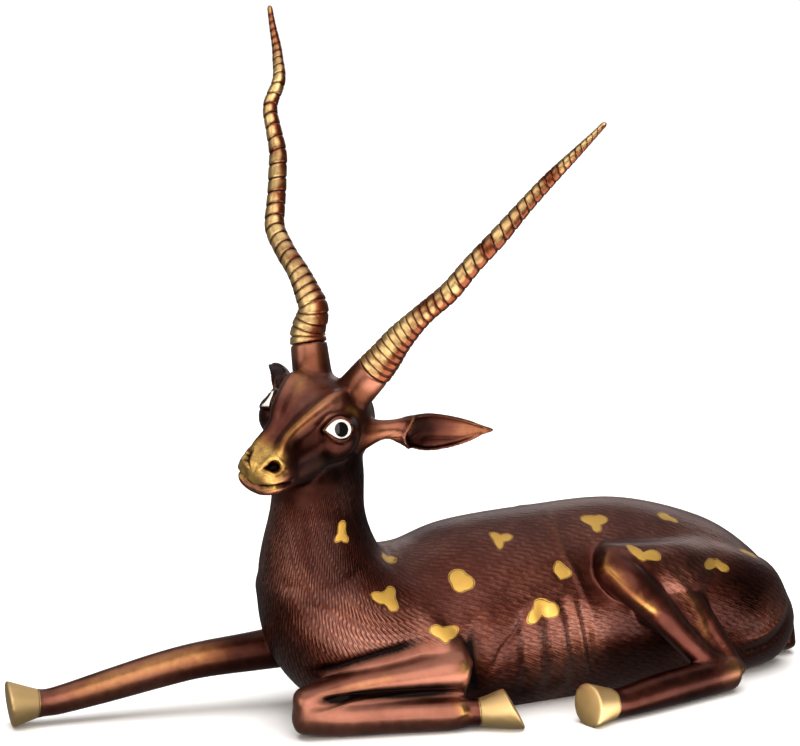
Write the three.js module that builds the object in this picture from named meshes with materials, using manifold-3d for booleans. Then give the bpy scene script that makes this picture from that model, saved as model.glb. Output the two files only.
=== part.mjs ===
// Reclining antelope statue in cast brass: one casting for the animal, and two ringed horns set on its head.
// Millimetres, +Z up. The animal lies on the plane z = 0, faces -X, and its left flank faces -Y.
import * as THREE from "three";
import { mergeVertices } from "three/addons/utils/BufferGeometryUtils.js";
import Module from "manifold-3d";

const wasm = await Module();
wasm.setup();

// Driving dimensions
const HORN_LENGTH = 318; // straight line from the seat of a horn to its tip
const HORN_RADII = [17.5, 14, 10.4, 9.9, 9.1, 8.7, 7.3, 6.4, 4.6, 2.6]; // evenly spaced from seat to tip
const HORN_RINGS = 36;
const HORN_GROOVE = 0.1; // depth of the groove between two rings, as a share of the radius
const HORN_SPLAY = 27; // degrees out from the middle plane of the head
const HORN_LEAN = 19; // degrees back from the head's own upright
// How far each horn swings from its straight line, out to its side and to the front, evenly from seat to tip
const LEFT_SWING = {
  out: [0, -2.6, -1.6, 3.6, 3.8, 4.1, 1.8, 1.7, 4.7, 6.3],
  fore: [0, 1, 2, 0, -3, -2, 2, 3, 0, 0],
};
const RIGHT_SWING = {
  out: [0, -13.6, -9.8, -1.8, 12.3, 22.9, 20.7, 14, 6.6, 5, 4.9, -6.1, -4.3, -3.1, -4],
  fore: [0, -5, -6, 2, 7, 0, -7, -4, 4, 0],
};
const HORN_SETTLES = 0.12; // share of a horn over which it leaves its seat straight
const HORN_SEAT_GAP = 0.4; // clearance between a horn and its stub
const STUB_LENGTH = 30; // root of the stub to the seat of the horn
const STUB_FLARE = 1.1; // root radius over seat radius
const EYE_RADIUS = 13.5;
const EAR_WALL = 2.5;
const EAR_HOLLOW_SHIFT = 5; // how far the hollow of an ear is set towards its front
const EAR_TIP = { left: [114, 124, -8], right: [108, 132, -32] }; // in the head's frame, y to its own side
const RIB_GROOVE = 3.2; // depth of the hollow between two ribs
const MOUTH_GROOVE = 1.8; // half width of the line between the lips
const FLOOR_BLOCK = 2000; // side of the block that trims the underside flat

// Facets: sides around each kind of skin
const BODY_SIDES = 22;
const LEG_SIDES = 12;
const HEAD_SIDES = 18;
const EAR_SIDES = 10;
const HORN_SIDES = 8;
const GROOVE_SIDES = 6;
const CAP_ROWS = 2;

// Sides are -1 for the animal's left, towards -Y, and 1 for its right.
const LEFT = -1;
const RIGHT = 1;

// Where the head sits on the neck: nose down, turned to the animal's left and tipped to that side.
const HEAD_AT = [-224, -14, 295];
const HEAD_TURN = 29;
const HEAD_NOD = -10;
const HEAD_TIP = 14;
const headPlace = new THREE.Matrix4().compose(
  new THREE.Vector3(...HEAD_AT),
  new THREE.Quaternion().setFromEuler(
    new THREE.Euler(...[HEAD_TIP, HEAD_NOD, HEAD_TURN].map(THREE.MathUtils.degToRad), "ZYX"),
  ),
  new THREE.Vector3(1, 1, 1),
);

// Catmull-Rom value at t, counted in entries, of a list of numbers or of lists of numbers.
// On a closed list the end runs on into the start.
function splineAt(values, t, closed = false) {
  const count = values.length;
  const i = closed ? Math.floor(t) : Math.min(Math.floor(t), count - 2);
  const f = t - i;
  const pick = (k) => values[closed ? (k + count) % count : Math.min(Math.max(k, 0), count - 1)];
  const [a, b, c, d] = [i - 1, i, i + 1, i + 2].map(pick);
  const one = (p, q, r, s) =>
    q + 0.5 * f * (r - p + f * (2 * p - 5 * q + 4 * r - s + f * (3 * (q - r) + s - p)));
  return Array.isArray(b) ? b.map((_, k) => one(a[k], b[k], c[k], d[k])) : one(a, b, c, d);
}

// A closed skin over a row of stations, with rounded caps of the given lengths at its ends. A station has its
// centre (at), may have its own facing along the path, and has one of two kinds of section. An oval has half
// sizes to the side (wide), the top (up) and the bottom (down). A half profile lists [side, height] points
// from the middle of the top to the middle of the bottom, and is mirrored.
function loft(stations, { sides, steps = 2, side = [0, 1, 0], caps = [10, 10] }) {
  const spans = stations.length - 1;
  const bodyRows = spans * steps;
  const rows = bodyRows + 2 * CAP_ROWS;
  const centres = stations.map((s) => s.at);
  const facings = stations.map((s, i) => {
    const ahead = new THREE.Vector3(...centres[Math.min(i + 1, spans)]);
    const behind = new THREE.Vector3(...centres[Math.max(i - 1, 0)]);
    return s.facing ?? ahead.sub(behind).normalize().toArray();
  });
  const ovals = stations.map((s) => [s.wide, s.up ?? s.wide, s.down ?? s.up ?? s.wide]);
  const mirrored = (half) => half.slice(1, -1).reverse().map(([y, z]) => [-y, z]);
  const profiles = stations.map((s) => s.half && [...s.half, ...mirrored(s.half)]);
  const sectionAt = (t, turn) => {
    if (profiles[0]) {
      const ring = profiles[0].map((_, k) => splineAt(profiles.map((p) => p[k]), t));
      const place = ((turn / (2 * Math.PI) - 0.25 + 1) % 1) * ring.length;
      const [y, z] = splineAt(ring, place, true);
      return [-y, z];
    }
    const [wide, up, down] = splineAt(ovals, t);
    return [wide * Math.cos(turn), Math.sin(turn) * (Math.sin(turn) > 0 ? up : down)];
  };
  const middles = stations.map((s) => (s.half ? (s.half[0][1] + s.half.at(-1)[1]) / 2 : 0));
  const geometry = new THREE.SphereGeometry(1, sides, rows);
  const uv = geometry.getAttribute("uv");
  const position = geometry.getAttribute("position");
  const reference = new THREE.Vector3(...side);
  const capTurn = Math.PI / 2 / CAP_ROWS;
  for (let k = 0; k < uv.count; k++) {
    const row = Math.round((1 - uv.getY(k)) * rows) - CAP_ROWS;
    const turn = (2 * Math.PI * (Math.round(uv.getX(k) * sides) % sides)) / sides;
    const inFirst = Math.min(row, 0);
    const inLast = Math.max(row - bodyRows, 0);
    const t = Math.min(Math.max(row, 0), bodyRows) / steps;
    const shrink = Math.cos(capTurn * (inLast - inFirst));
    const push = caps[1] * Math.sin(capTurn * inLast) + caps[0] * Math.sin(capTurn * inFirst);
    const along = new THREE.Vector3(...splineAt(facings, t)).normalize();
    const across = reference.clone().addScaledVector(along, -along.dot(reference)).normalize();
    const top = new THREE.Vector3().crossVectors(across, along);
    const [y, z] = sectionAt(t, turn);
    const middle = splineAt(middles, t);
    const point = new THREE.Vector3(...splineAt(centres, t))
      .addScaledVector(across, shrink * y)
      .addScaledVector(top, middle + shrink * (z - middle))
      .addScaledVector(along, push);
    position.setXYZ(k, point.x, point.y, point.z);
  }
  return geometry;
}

// A geometry as a solid, with its shared vertices merged.
function solid(geometry, place) {
  const bare = geometry.clone();
  bare.deleteAttribute("normal");
  bare.deleteAttribute("uv");
  if (place) bare.applyMatrix4(place);
  const merged = mergeVertices(bare, 1e-3);
  return new wasm.Manifold(
    new wasm.Mesh({
      numProp: 3,
      vertProperties: new Float32Array(merged.attributes.position.array),
      triVerts: new Uint32Array(merged.index.array),
    }),
  );
}

function geometryOf(manifold) {
  const { vertProperties, triVerts } = manifold.getMesh();
  const geometry = new THREE.BufferGeometry();
  geometry.setAttribute("position", new THREE.BufferAttribute(new Float32Array(vertProperties), 3));
  geometry.setIndex(new THREE.BufferAttribute(new Uint32Array(triVerts), 1));
  geometry.computeVertexNormals();
  return geometry;
}

const joined = (solids) => solids.reduce((whole, piece) => whole.add(piece));

// An ellipsoid with its half sizes along X, Y and Z.
function pebble(centre, sizes, place) {
  const ball = new THREE.SphereGeometry(1, 10, 7).scale(...sizes).translate(...centre);
  return solid(ball, place);
}

// The way a section faces when its path leans back by so many degrees from -X towards +Z.
const leaning = (degrees) => {
  const a = THREE.MathUtils.degToRad(degrees);
  return [-Math.cos(a), 0, Math.sin(a)];
};

// Trunk and neck: one skin from the rump, along the back, and up to the poll.
function trunkAndNeck() {
  const stations = [
    { at: [304, 0, 40], wide: 26, up: 20, down: 44, facing: leaning(0) },
    { at: [288, 0, 54], wide: 48, up: 32, down: 70, facing: leaning(0) },
    { at: [260, 0, 64], wide: 72, up: 55, down: 92, facing: leaning(0) },
    { at: [210, 0, 73], wide: 84, up: 78, down: 106, facing: leaning(0) },
    { at: [119, 0, 82], wide: 86, up: 96, down: 112, facing: leaning(0) },
    { at: [20, 0, 84], wide: 90, up: 96, down: 112, facing: leaning(0) },
    { at: [-70, 0, 84], wide: 88, up: 92, down: 112, facing: leaning(0) },
    { at: [-128, 0, 82], wide: 84, up: 81, down: 106, facing: leaning(5) },
    { at: [-172, 0, 92], wide: 80, up: 77, down: 92, facing: leaning(26) },
    { at: [-200, 0, 112], wide: 75, up: 74, down: 80, facing: leaning(48) },
    { at: [-213, 0, 140], wide: 68, up: 64, down: 66, facing: leaning(70) },
    { at: [-217, 0, 170], wide: 56, up: 54, down: 55, facing: leaning(86) },
    { at: [-219, -2, 206], wide: 45, up: 45, down: 45, facing: leaning(92) },
    { at: [-220, -8, 285], wide: 38, up: 38, down: 38, facing: leaning(92) },
  ];
  return solid(loft(stations, { sides: BODY_SIDES, caps: [6, 12] }));
}

// Hollows between the ribs: slim lenses laid along the round of the flank, to be cut out of it.
function ribHollows(hand) {
  const [flankWide, flankHigh, flankMiddle] = [88, 100, 84];
  const ribs = [
    { x: -44, high: 100, low: 24 },
    { x: -18, high: 96, low: 24 },
    { x: 6, high: 104, low: 28 },
    { x: 28, high: 96, low: 40 },
  ];
  return ribs.map(({ x, high, low }) => {
    const stations = [0, 0.25, 0.5, 0.75, 1].map((s) => {
      const z = high + (low - high) * s;
      const full = Math.sin(Math.PI * s);
      const skin = flankWide * Math.sqrt(1 - ((z - flankMiddle) / flankHigh) ** 2);
      return { at: [x + 10 * s, hand * (skin + 6 - RIB_GROOVE * full), z], wide: 3 + 4 * full, up: 6 };
    });
    return solid(loft(stations, { sides: GROOVE_SIDES, steps: 1, caps: [3, 3], side: [1, 0, 0] }));
  });
}

// Head in its own frame, nose along -X. The half profile runs from the middle of the forehead over the brow
// ridge, the hollow under it, the cheek and the jaw to the throat.
function head() {
  const section = (x, top, ridge, hollow, cheek, jaw, throat) => ({
    at: [x, 0, 0],
    facing: [-1, 0, 0],
    half: [[0, top], ridge, hollow, cheek, jaw, [0, throat]],
  });
  const skull = [
    section(46, 22, [18, 20], [30, 10], [35, -10], [28, -40], -54),
    section(20, 37, [26, 36], [38, 22], [43, -4], [33, -44], -64),
    section(-8, 36, [25, 38], [34, 24], [42, 0], [31, -42], -62),
    section(-34, 26, [19, 29], [26, 15], [34, -7], [26, -40], -54),
    section(-57, 13, [12, 15.5], [19, 3], [25.5, -14], [22, -38], -47),
    section(-77, 3, [13, 3], [21, -8.5], [26, -20], [21, -37], -45),
    section(-92, -6, [12, -7.5], [19, -14.5], [23, -23], [17, -36], -42),
  ];
  return solid(loft(skull, { sides: HEAD_SIDES, caps: [12, 6] }), headPlace);
}

const eye = (hand) => pebble([-14, hand * 37, 6], [EYE_RADIUS, EYE_RADIUS, EYE_RADIUS], headPlace);
const eyeSocket = (hand) => pebble([-14, hand * 31, 0], [26, 20, 24], headPlace);
const nostril = (hand) => pebble([-92, hand * 15, -10], [9, 5, 5], headPlace);

// The line between the lips, from one corner of the mouth round the muzzle to the other.
function mouthLine() {
  const path = [
    [-66, 27, -29],
    [-84, 25, -30],
    [-97, 12, -30],
    [-100, 0, -30],
  ];
  const other = path.slice(0, -1).reverse();
  const points = [...path, ...other.map(([x, y, z]) => [x, -y, z])];
  const stations = points.map((at) => ({ at, wide: MOUTH_GROOVE }));
  return solid(loft(stations, { sides: GROOVE_SIDES, caps: [1, 1], side: [0, 0, 1] }), headPlace);
}

// An ear: a stalk that opens into a pointed leaf, hollow on its front. Each row has its place from root to
// tip, its half thickness, its half height and how far it sags below the straight line.
function ear(hand, tip) {
  const root = [16, 34, -4];
  const rows = [
    [0, 14, 20, 8],
    [0.2, 8, 10, 0],
    [0.36, 8.5, 15, 1.5],
    [0.52, 9.5, 19.5, 2.7],
    [0.8, 6.5, 12.5, 2],
    [1, 2, 2.2, 0],
  ];
  const station = ([share, wide, up, sag], forward, wall) => {
    const [x, y, z] = root.map((from, k) => from + (tip[k] - from) * share);
    return { at: [x - forward, hand * (y + forward), z - sag], wide: wide - wall, up: up - wall };
  };
  const options = { sides: EAR_SIDES, steps: 1, caps: [2, 2], side: [-1, hand, 0] };
  const leaf = rows.map((row) => station(row, 0, 0));
  const hollow = rows.slice(2, 5).map((row) => station(row, EAR_HOLLOW_SHIFT, EAR_WALL));
  return solid(loft(leaf, options), headPlace).subtract(
    solid(loft(hollow, { ...options, caps: [4, 8] }), headPlace),
  );
}

// The way a horn points, in the head's frame: up, back and out to its own side.
function hornWay(hand) {
  const [splay, lean] = [HORN_SPLAY, HORN_LEAN].map(THREE.MathUtils.degToRad);
  return new THREE.Vector3(
    Math.sin(lean) * Math.cos(splay),
    hand * Math.sin(splay),
    Math.cos(lean) * Math.cos(splay),
  );
}

const stubRoot = (hand) => new THREE.Vector3(21, hand * 24, 30);

function stub(hand) {
  const way = hornWay(hand);
  const seat = stubRoot(hand).addScaledVector(way, STUB_LENGTH);
  const buried = stubRoot(hand).addScaledVector(way, -14);
  const [radius] = HORN_RADII;
  const shaft = new THREE.CylinderGeometry(radius, radius * STUB_FLARE, seat.distanceTo(buried), 16);
  shaft.applyQuaternion(new THREE.Quaternion().setFromUnitVectors(new THREE.Vector3(0, 1, 0), way));
  shaft.translate(...seat.add(buried).multiplyScalar(0.5).toArray());
  return solid(shaft, headPlace);
}

// A horn: rings along a path that swings about a straight line, out to its side and to the front.
function horn(hand, swing) {
  const way = hornWay(hand);
  const seat = stubRoot(hand).addScaledVector(way, STUB_LENGTH + HORN_SEAT_GAP);
  const out = new THREE.Vector3(0, hand, 0).addScaledVector(way, -way.y * hand).normalize();
  const fore = new THREE.Vector3().crossVectors(out, way).multiplyScalar(hand);
  const count = 2 * HORN_RINGS;
  const stations = Array.from({ length: count + 1 }, (_, k) => {
    const s = k / count;
    const settled = THREE.MathUtils.smoothstep(s, 0, HORN_SETTLES);
    const valueAt = (values) => splineAt(values, s * (values.length - 1));
    const centre = seat
      .clone()
      .addScaledVector(way, HORN_LENGTH * s)
      .addScaledVector(out, settled * valueAt(swing.out))
      .addScaledVector(fore, settled * valueAt(swing.fore));
    const wide = valueAt(HORN_RADII) * (k % 2 ? 1 : 1 - HORN_GROOVE);
    return { at: centre.toArray(), wide, facing: k < 2 ? way.toArray() : undefined };
  });
  const options = { sides: HORN_SIDES, steps: 1, caps: [0, 4], side: fore.toArray() };
  return solid(loft(stations, options), headPlace);
}

// A leg is a skin over a row of round stations: [x, y, z, half size across, half size up].
// The sole, where it is given, is the way the last section faces.
function leg(rows, { caps, steps = 1, sole }) {
  const stations = rows.map(([x, y, z, wide, up]) => ({ at: [x, y, z], wide, up }));
  stations.at(-1).facing = sole;
  return solid(loft(stations, { sides: LEG_SIDES, steps, caps }));
}

// Left foreleg, folded: shoulder and upper arm, the forearm forward to the knee, the shank back to the hoof,
// and a thin web at the bottom of the slot between forearm and shank.
function foldedForeleg() {
  const upperArm = [
    [-164, -34, 122, 28, 34],
    [-146, -52, 100, 28, 34],
    [-126, -68, 76, 24, 30],
    [-113, -82, 52, 20, 22],
  ];
  const forearm = [
    [-114, -88, 55, 20, 21],
    [-130, -86, 56, 20, 20],
    [-170, -78, 54, 18, 15.5],
    [-215, -66, 49, 16, 13],
    [-256, -52, 33, 17, 16],
  ];
  const shank = [
    [-257, -52, 23, 17, 20],
    [-225, -62, 17, 16, 17.5],
    [-170, -80, 17, 15, 17],
    [-125, -94, 16, 14.5, 16.5],
    [-106, -100, 16, 11, 13],
    [-92, -106, 17, 14, 15],
    [-68, -116, 19, 20, 22],
  ];
  const web = [
    [-246, -54, 33, 8, 10],
    [-180, -74, 37, 8, 10],
    [-116, -90, 36, 8, 12],
  ];
  return joined([
    leg(upperArm, { caps: [24, 10] }),
    leg(forearm, { caps: [12, 12] }),
    leg(shank, { caps: [12, 1.5], sole: [0.82, -0.3, 0.48] }),
    leg(web, { caps: [10, 10] }),
  ]);
}

// Right foreleg, stretched out in front, with its hoof standing on edge.
function stretchedForeleg() {
  const rows = [
    [-190, 46, 62, 22, 24],
    [-250, 58, 55, 18, 20],
    [-310, 70, 50, 16.5, 18],
    [-350, 78, 43, 16, 17.5],
    [-400, 87, 32, 15, 16],
    [-448, 95, 22, 13, 14],
    [-466, 98, 21, 13, 14],
    [-494, 102, 23, 20, 23],
  ];
  return leg(rows, { caps: [12, 1.5], sole: [-0.98, 0.16, -0.1] });
}

// A hind leg, folded beside the belly. The gaskin is two ridges, shin and tendon, with a hollow between them
// over a thinner web, and the shank runs forward from the hock to the hoof. Thigh and haunch carry the gaskin
// into the rump.
function hindLeg(hand) {
  const placed = (rows) => rows.map(([x, y, z, wide, up]) => [x, hand * y, z, wide, up]);
  const shin = [
    [60, 82, 130, 22, 20],
    [72, 96, 118, 19, 20],
    [96, 105, 94, 15, 17],
    [118, 110, 68, 13, 14],
    [150, 114, 36, 12, 13],
    [178, 116, 20, 13, 15],
  ];
  const tendon = [
    [106, 58, 128, 18, 24],
    [136, 82, 102, 14, 17],
    [158, 102, 68, 11, 12],
    [176, 110, 36, 10, 11],
    [182, 115, 20, 12, 14],
  ];
  const web = [
    [86, 68, 120, 20, 32],
    [114, 90, 94, 14, 30],
    [142, 104, 62, 9, 22],
    [168, 112, 30, 9, 14],
  ];
  const shank = [
    [177, 116, 20, 14, 18],
    [140, 122, 19, 14, 18],
    [80, 132, 18, 14, 17],
    [46, 137, 16, 13, 15],
    [28, 139, 16, 13, 15],
    [-3, 144, 20, 20, 22],
  ];
  const thigh = [
    [62, 72, 134, 26, 22],
    [94, 76, 124, 27, 30],
    [132, 72, 110, 30, 40],
    [176, 52, 96, 34, 46],
  ];
  const haunch = [
    [110, 44, 104, 40, 48],
    [176, 54, 86, 42, 54],
    [228, 54, 56, 40, 62],
    [264, 46, 38, 34, 43],
    [284, 36, 30, 22, 31],
  ];
  return joined([
    leg(placed(shin), { caps: [20, 10] }),
    leg(placed(tendon), { caps: [16, 8] }),
    leg(placed(web), { caps: [20, 8] }),
    leg(placed(shank), { caps: [11, 1.5], sole: [-0.96, hand * 0.2, 0] }),
    leg(placed(thigh), { caps: [20, 24] }),
    leg(placed(haunch), { caps: [30, 4] }),
  ]);
}

// The tail, laid down the rump and swept to the animal's left.
function tail() {
  const rows = [
    [258, 0, 111, 7, 6],
    [284, -1, 86, 10, 8],
    [302, -8, 54, 12, 10],
    [306, -20, 33, 13, 11],
    [301, -33, 9, 13, 12],
  ];
  return leg(rows, { caps: [6, 6] });
}

function animal() {
  const hands = [LEFT, RIGHT];
  const body = joined([
    trunkAndNeck(),
    foldedForeleg(),
    stretchedForeleg(),
    tail(),
    ...hands.map(hindLeg),
  ]);
  const face = joined([head(), ...hands.flatMap((hand) => [eyeSocket(hand), stub(hand)])]);
  const ears = joined([ear(LEFT, EAR_TIP.left), ear(RIGHT, EAR_TIP.right)]);
  const carved = joined([body, face, ears])
    .subtract(joined([mouthLine(), ...hands.map(nostril), ...hands.flatMap(ribHollows)]))
    .add(joined(hands.map(eye)));
  const floor = new THREE.BoxGeometry(FLOOR_BLOCK, FLOOR_BLOCK, FLOOR_BLOCK);
  return geometryOf(carved.subtract(solid(floor.translate(0, 0, -FLOOR_BLOCK / 2))));
}

const brownPatina = new THREE.MeshStandardMaterial({ color: 0x5a2a1a, roughness: 0.35, metalness: 1 });
const ringedBrass = new THREE.MeshStandardMaterial({ color: 0xb0803c, roughness: 0.35, metalness: 1 });

function named(name, geometry, material) {
  const mesh = new THREE.Mesh(geometry, material);
  mesh.name = name;
  return mesh;
}

const statue = new THREE.Group();
statue.name = "antelope_statue";
statue.add(named("animal", animal(), brownPatina));
statue.add(named("left_horn", geometryOf(horn(LEFT, LEFT_SWING)), ringedBrass));
statue.add(named("right_horn", geometryOf(horn(RIGHT, RIGHT_SWING)), ringedBrass));

export default statue;
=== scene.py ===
# %% [markdown]
# # A reclining antelope in cast brass
# The statue is one brass casting with two ringed horns set on short stubs. Its skin is patinated a dark red
# brown, the hair is chased into it stroke by stroke, and the spots, muzzle and hooves are polished back to
# bright brass. The eyes are enamel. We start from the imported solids, which fix every place and size.

import bpy
import numpy as np
from mathutils import Matrix


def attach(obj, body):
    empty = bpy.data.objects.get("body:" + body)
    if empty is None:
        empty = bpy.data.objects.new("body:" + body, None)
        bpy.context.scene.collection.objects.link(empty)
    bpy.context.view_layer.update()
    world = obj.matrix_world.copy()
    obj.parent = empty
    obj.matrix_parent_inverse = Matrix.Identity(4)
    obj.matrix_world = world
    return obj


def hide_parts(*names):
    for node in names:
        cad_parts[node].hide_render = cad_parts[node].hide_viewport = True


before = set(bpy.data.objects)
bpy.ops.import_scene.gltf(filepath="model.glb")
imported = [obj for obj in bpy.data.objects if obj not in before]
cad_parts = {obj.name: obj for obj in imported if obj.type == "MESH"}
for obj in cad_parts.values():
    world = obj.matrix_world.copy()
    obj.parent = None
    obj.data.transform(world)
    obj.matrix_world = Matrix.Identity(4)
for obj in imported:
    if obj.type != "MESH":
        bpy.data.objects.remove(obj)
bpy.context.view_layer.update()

# %% [markdown]
# The camera stands where the photograph was taken from: a little above the animal's back and in front of
# its left flank. Blender's cameras and lamps look along their own -Z, so the third column of a matrix
# points backwards, from the statue to the lens. Numbers about the statue are millimetres, as a maker would
# measure them, and are turned to metres only when they go into Blender.

# %% Camera
METRE = 0.001  # one millimetre, in Blender's metres
CAMERA_TURN = np.radians(-27)  # round the statue, from straight onto its left flank
CAMERA_RISE = np.radians(11)  # above the horizon
CAMERA_REACH = 2600  # lens to the middle of the picture
PICTURE_MIDDLE = np.array([-76.5, 105.5, 305.3])
LENS = 117
SENSOR = 36


def unit(vectors):
    """Each vector divided by its own length."""
    vectors = np.asarray(vectors, float)
    return vectors / np.linalg.norm(vectors, axis=-1, keepdims=True)


def looking_matrix(at, back, up=(0, 0, 1)):
    """The right, up and back directions of what looks from a place, and the place, as columns."""
    right = unit(np.cross(up, back))
    matrix = np.eye(4)
    matrix[:3] = np.stack([right, np.cross(back, right), back, at], axis=1)
    return Matrix(matrix.tolist())


level_back = np.array([np.sin(CAMERA_TURN), -np.cos(CAMERA_TURN), 0])
camera_back = np.cos(CAMERA_RISE) * level_back + np.sin(CAMERA_RISE) * np.array([0, 0, 1])
camera = bpy.data.objects.new("camera", bpy.data.cameras.new("camera"))
camera.data.lens = LENS
camera.data.sensor_width = SENSOR
camera.data.sensor_fit = "HORIZONTAL"
camera.matrix_world = looking_matrix((PICTURE_MIDDLE + CAMERA_REACH * camera_back) * METRE, camera_back)
bpy.context.scene.collection.objects.link(camera)
bpy.context.scene.camera = camera
print("camera at", [round(c, 3) for c in camera.location])

# %% [markdown]
# A modeller builds an animal like this over a row of cross sections, as a boat is built over its ribs. Each
# section is a ring carried along a path, and a smooth curve through the rings gives the skin. Extruded
# curves in Blender keep one section from end to end, so we carry the rings ourselves, as whole numpy
# arrays.


# %% Skins carried along a path
CAP_ROWS = 8


def spline_at(knots, t, closed=False):
    """Smooth curve through knots. Between b and c, with a before and d after, at the share f of the way, it
    is b + f/2 (c - a + f (2a - 5b + 4c - d + f (3 (b - c) + d - a))). A closed row runs on into its start."""
    knots = np.asarray(knots, float)
    count = len(knots)
    first = np.floor(t).astype(int)
    if not closed:
        first = np.minimum(first, count - 2)
    f = (t - first).reshape((-1,) + (1,) * (knots.ndim - 1))
    places = [first + k for k in (-1, 0, 1, 2)]
    places = [p % count if closed else np.clip(p, 0, count - 1) for p in places]
    a, b, c, d = [knots[p] for p in places]
    return b + 0.5 * f * (c - a + f * (2 * a - 5 * b + 4 * c - d + f * (3 * (b - c) + d - a)))


def along_knots(knots, steps):
    """Places along a row of knots, counted in knots, with so many steps from one to the next."""
    return np.linspace(0, len(knots) - 1, (len(knots) - 1) * steps + 1)


def facings_of(centres, sole=None):
    """The way each section faces: from the centre before it to the centre after it. A sole sets the last."""
    centres = np.asarray(centres, float)
    ahead = centres[np.minimum(np.arange(len(centres)) + 1, len(centres) - 1)]
    behind = centres[np.maximum(np.arange(len(centres)) - 1, 0)]
    facings = unit(ahead - behind)
    if sole is not None:
        facings[-1] = unit(sole)
    return facings


def section_axes(facings, side):
    """Along, across and top directions of sections that face `facings`, with across nearest to `side`."""
    along = unit(facings)
    side = np.asarray(side, float)
    across = unit(side - (along @ side)[:, None] * along)
    return along, across, np.cross(across, along)


def carried_skin(centres, facings, rings, side=(0, 1, 0), caps=(10, 10)):
    """Rings of (across, top) points set square on a path, closed by two quarter-round caps: at the angle a
    into a cap, the ring shrinks about its middle by cos(a) and moves on by sin(a) of the cap's length."""
    along, across, top = section_axes(facings, side)
    turn = np.linspace(0, np.pi / 2, CAP_ROWS + 1)[1:]
    rows = len(centres)
    pick = np.concatenate([np.zeros(CAP_ROWS, int), np.arange(rows), np.full(CAP_ROWS, rows - 1)])
    shrink = np.concatenate([np.cos(turn[::-1]), np.ones(rows), np.cos(turn)])[:, None, None]
    push = np.concatenate([-caps[0] * np.sin(turn[::-1]), np.zeros(rows), caps[1] * np.sin(turn)])
    middle = rings.mean(axis=1, keepdims=True)[pick]
    ring = middle + shrink * (rings[pick] - middle)
    spine = centres[pick] + push[:, None] * along[pick]
    return spine[:, None] + ring[..., :1] * across[pick][:, None] + ring[..., 1:] * top[pick][:, None]


def oval_rings(ovals, sides):
    """Rings with half sizes to the side, the top and the bottom: (wide cos a, up or down sin a)."""
    turn = np.linspace(0, 2 * np.pi, sides, endpoint=False)
    wide, up, down = ovals.T[:, :, None]
    high = np.where(np.sin(turn) > 0, up, down)
    return np.stack([wide * np.cos(turn), high * np.sin(turn)], axis=-1)


def limb(rows, caps, sole=None, steps=8, sides=48):
    """A skin over rows of [x, y, z, half size across, half size up]."""
    rows = np.asarray(rows, float)
    t = along_knots(rows, steps)
    facings = spline_at(facings_of(rows[:, :3], sole), t)
    ovals = spline_at(rows[:, [3, 4, 4]], t)
    return carried_skin(spline_at(rows[:, :3], t), facings, oval_rings(ovals, sides), caps=caps)


# %% [markdown]
# The trunk and the neck are one skin, from the rump, along the back, round the chest and up to the poll.
# The sections lean back more and more as the path turns up into the neck.

# %% Trunk and neck
# Centre x, y, z; half sizes to the side, the top and the bottom; degrees that the section leans back
TRUNK = np.array([
    [304, 0, 40, 26, 20, 44, 0],
    [288, 0, 54, 48, 32, 70, 0],
    [260, 0, 64, 72, 55, 92, 0],
    [210, 0, 73, 84, 78, 106, 0],
    [119, 0, 82, 86, 96, 112, 0],
    [20, 0, 84, 90, 96, 112, 0],
    [-70, 0, 84, 88, 92, 112, 0],
    [-128, 0, 82, 84, 81, 106, 5],
    [-172, 0, 92, 80, 77, 92, 26],
    [-200, 0, 112, 75, 74, 80, 48],
    [-213, 0, 140, 68, 64, 66, 70],
    [-217, 0, 170, 56, 54, 55, 86],
    [-219, -2, 206, 45, 45, 45, 92],
    [-219, -5, 245, 42, 43, 43, 92],
    [-220, -8, 285, 38, 38, 38, 92],
], float)
trunk_t = along_knots(TRUNK, 16)
trunk_centres = spline_at(TRUNK[:, :3], trunk_t)
trunk_ovals = spline_at(TRUNK[:, 3:6], trunk_t)
trunk_lean = np.radians(TRUNK[:, 6])
trunk_facings = np.stack([-np.cos(trunk_lean), 0 * trunk_lean, np.sin(trunk_lean)], axis=1)
trunk_facings = spline_at(trunk_facings, trunk_t)
trunk = carried_skin(trunk_centres, trunk_facings, oval_rings(trunk_ovals, 128), caps=(6, 12))
print("trunk and neck:", trunk.shape[0], "rings of", trunk.shape[1])

# %% [markdown]
# The left foreleg is folded under the chest and the right one is stretched out in front. Both hind legs are
# folded beside the belly: a gaskin of two ridges, shin and tendon, over a thinner web, then the shank
# forward to the hoof. The hooves flare to a flat sole. The hidden right side repeats the left.

# %% Legs and tail
FORELEG_FOLDED = {
    "upper arm": [[-164, -34, 122, 28, 34], [-146, -52, 100, 28, 34], [-126, -68, 76, 24, 30],
                  [-113, -82, 52, 20, 22]],
    "forearm": [[-114, -88, 55, 20, 21], [-130, -86, 56, 20, 20], [-170, -78, 54, 18, 15.5],
                [-215, -66, 49, 16, 13], [-256, -52, 33, 17, 16]],
    "shank": [[-257, -52, 23, 17, 20], [-225, -62, 17, 16, 17.5], [-170, -80, 17, 15, 17],
              [-125, -94, 16, 14.5, 16.5], [-106, -100, 16, 11, 13], [-92, -106, 17, 14, 15],
              [-68, -116, 19, 20, 22]],
    "web": [[-246, -54, 33, 8, 10], [-180, -74, 37, 8, 10], [-116, -90, 36, 8, 12]],
}
FORELEG_STRETCHED = [[-190, 46, 62, 22, 24], [-250, 58, 55, 18, 20], [-310, 70, 50, 16.5, 18],
                     [-350, 78, 43, 16, 17.5], [-400, 87, 32, 15, 16], [-448, 95, 22, 13, 14],
                     [-466, 98, 21, 13, 14], [-494, 102, 23, 20, 23]]
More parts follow.
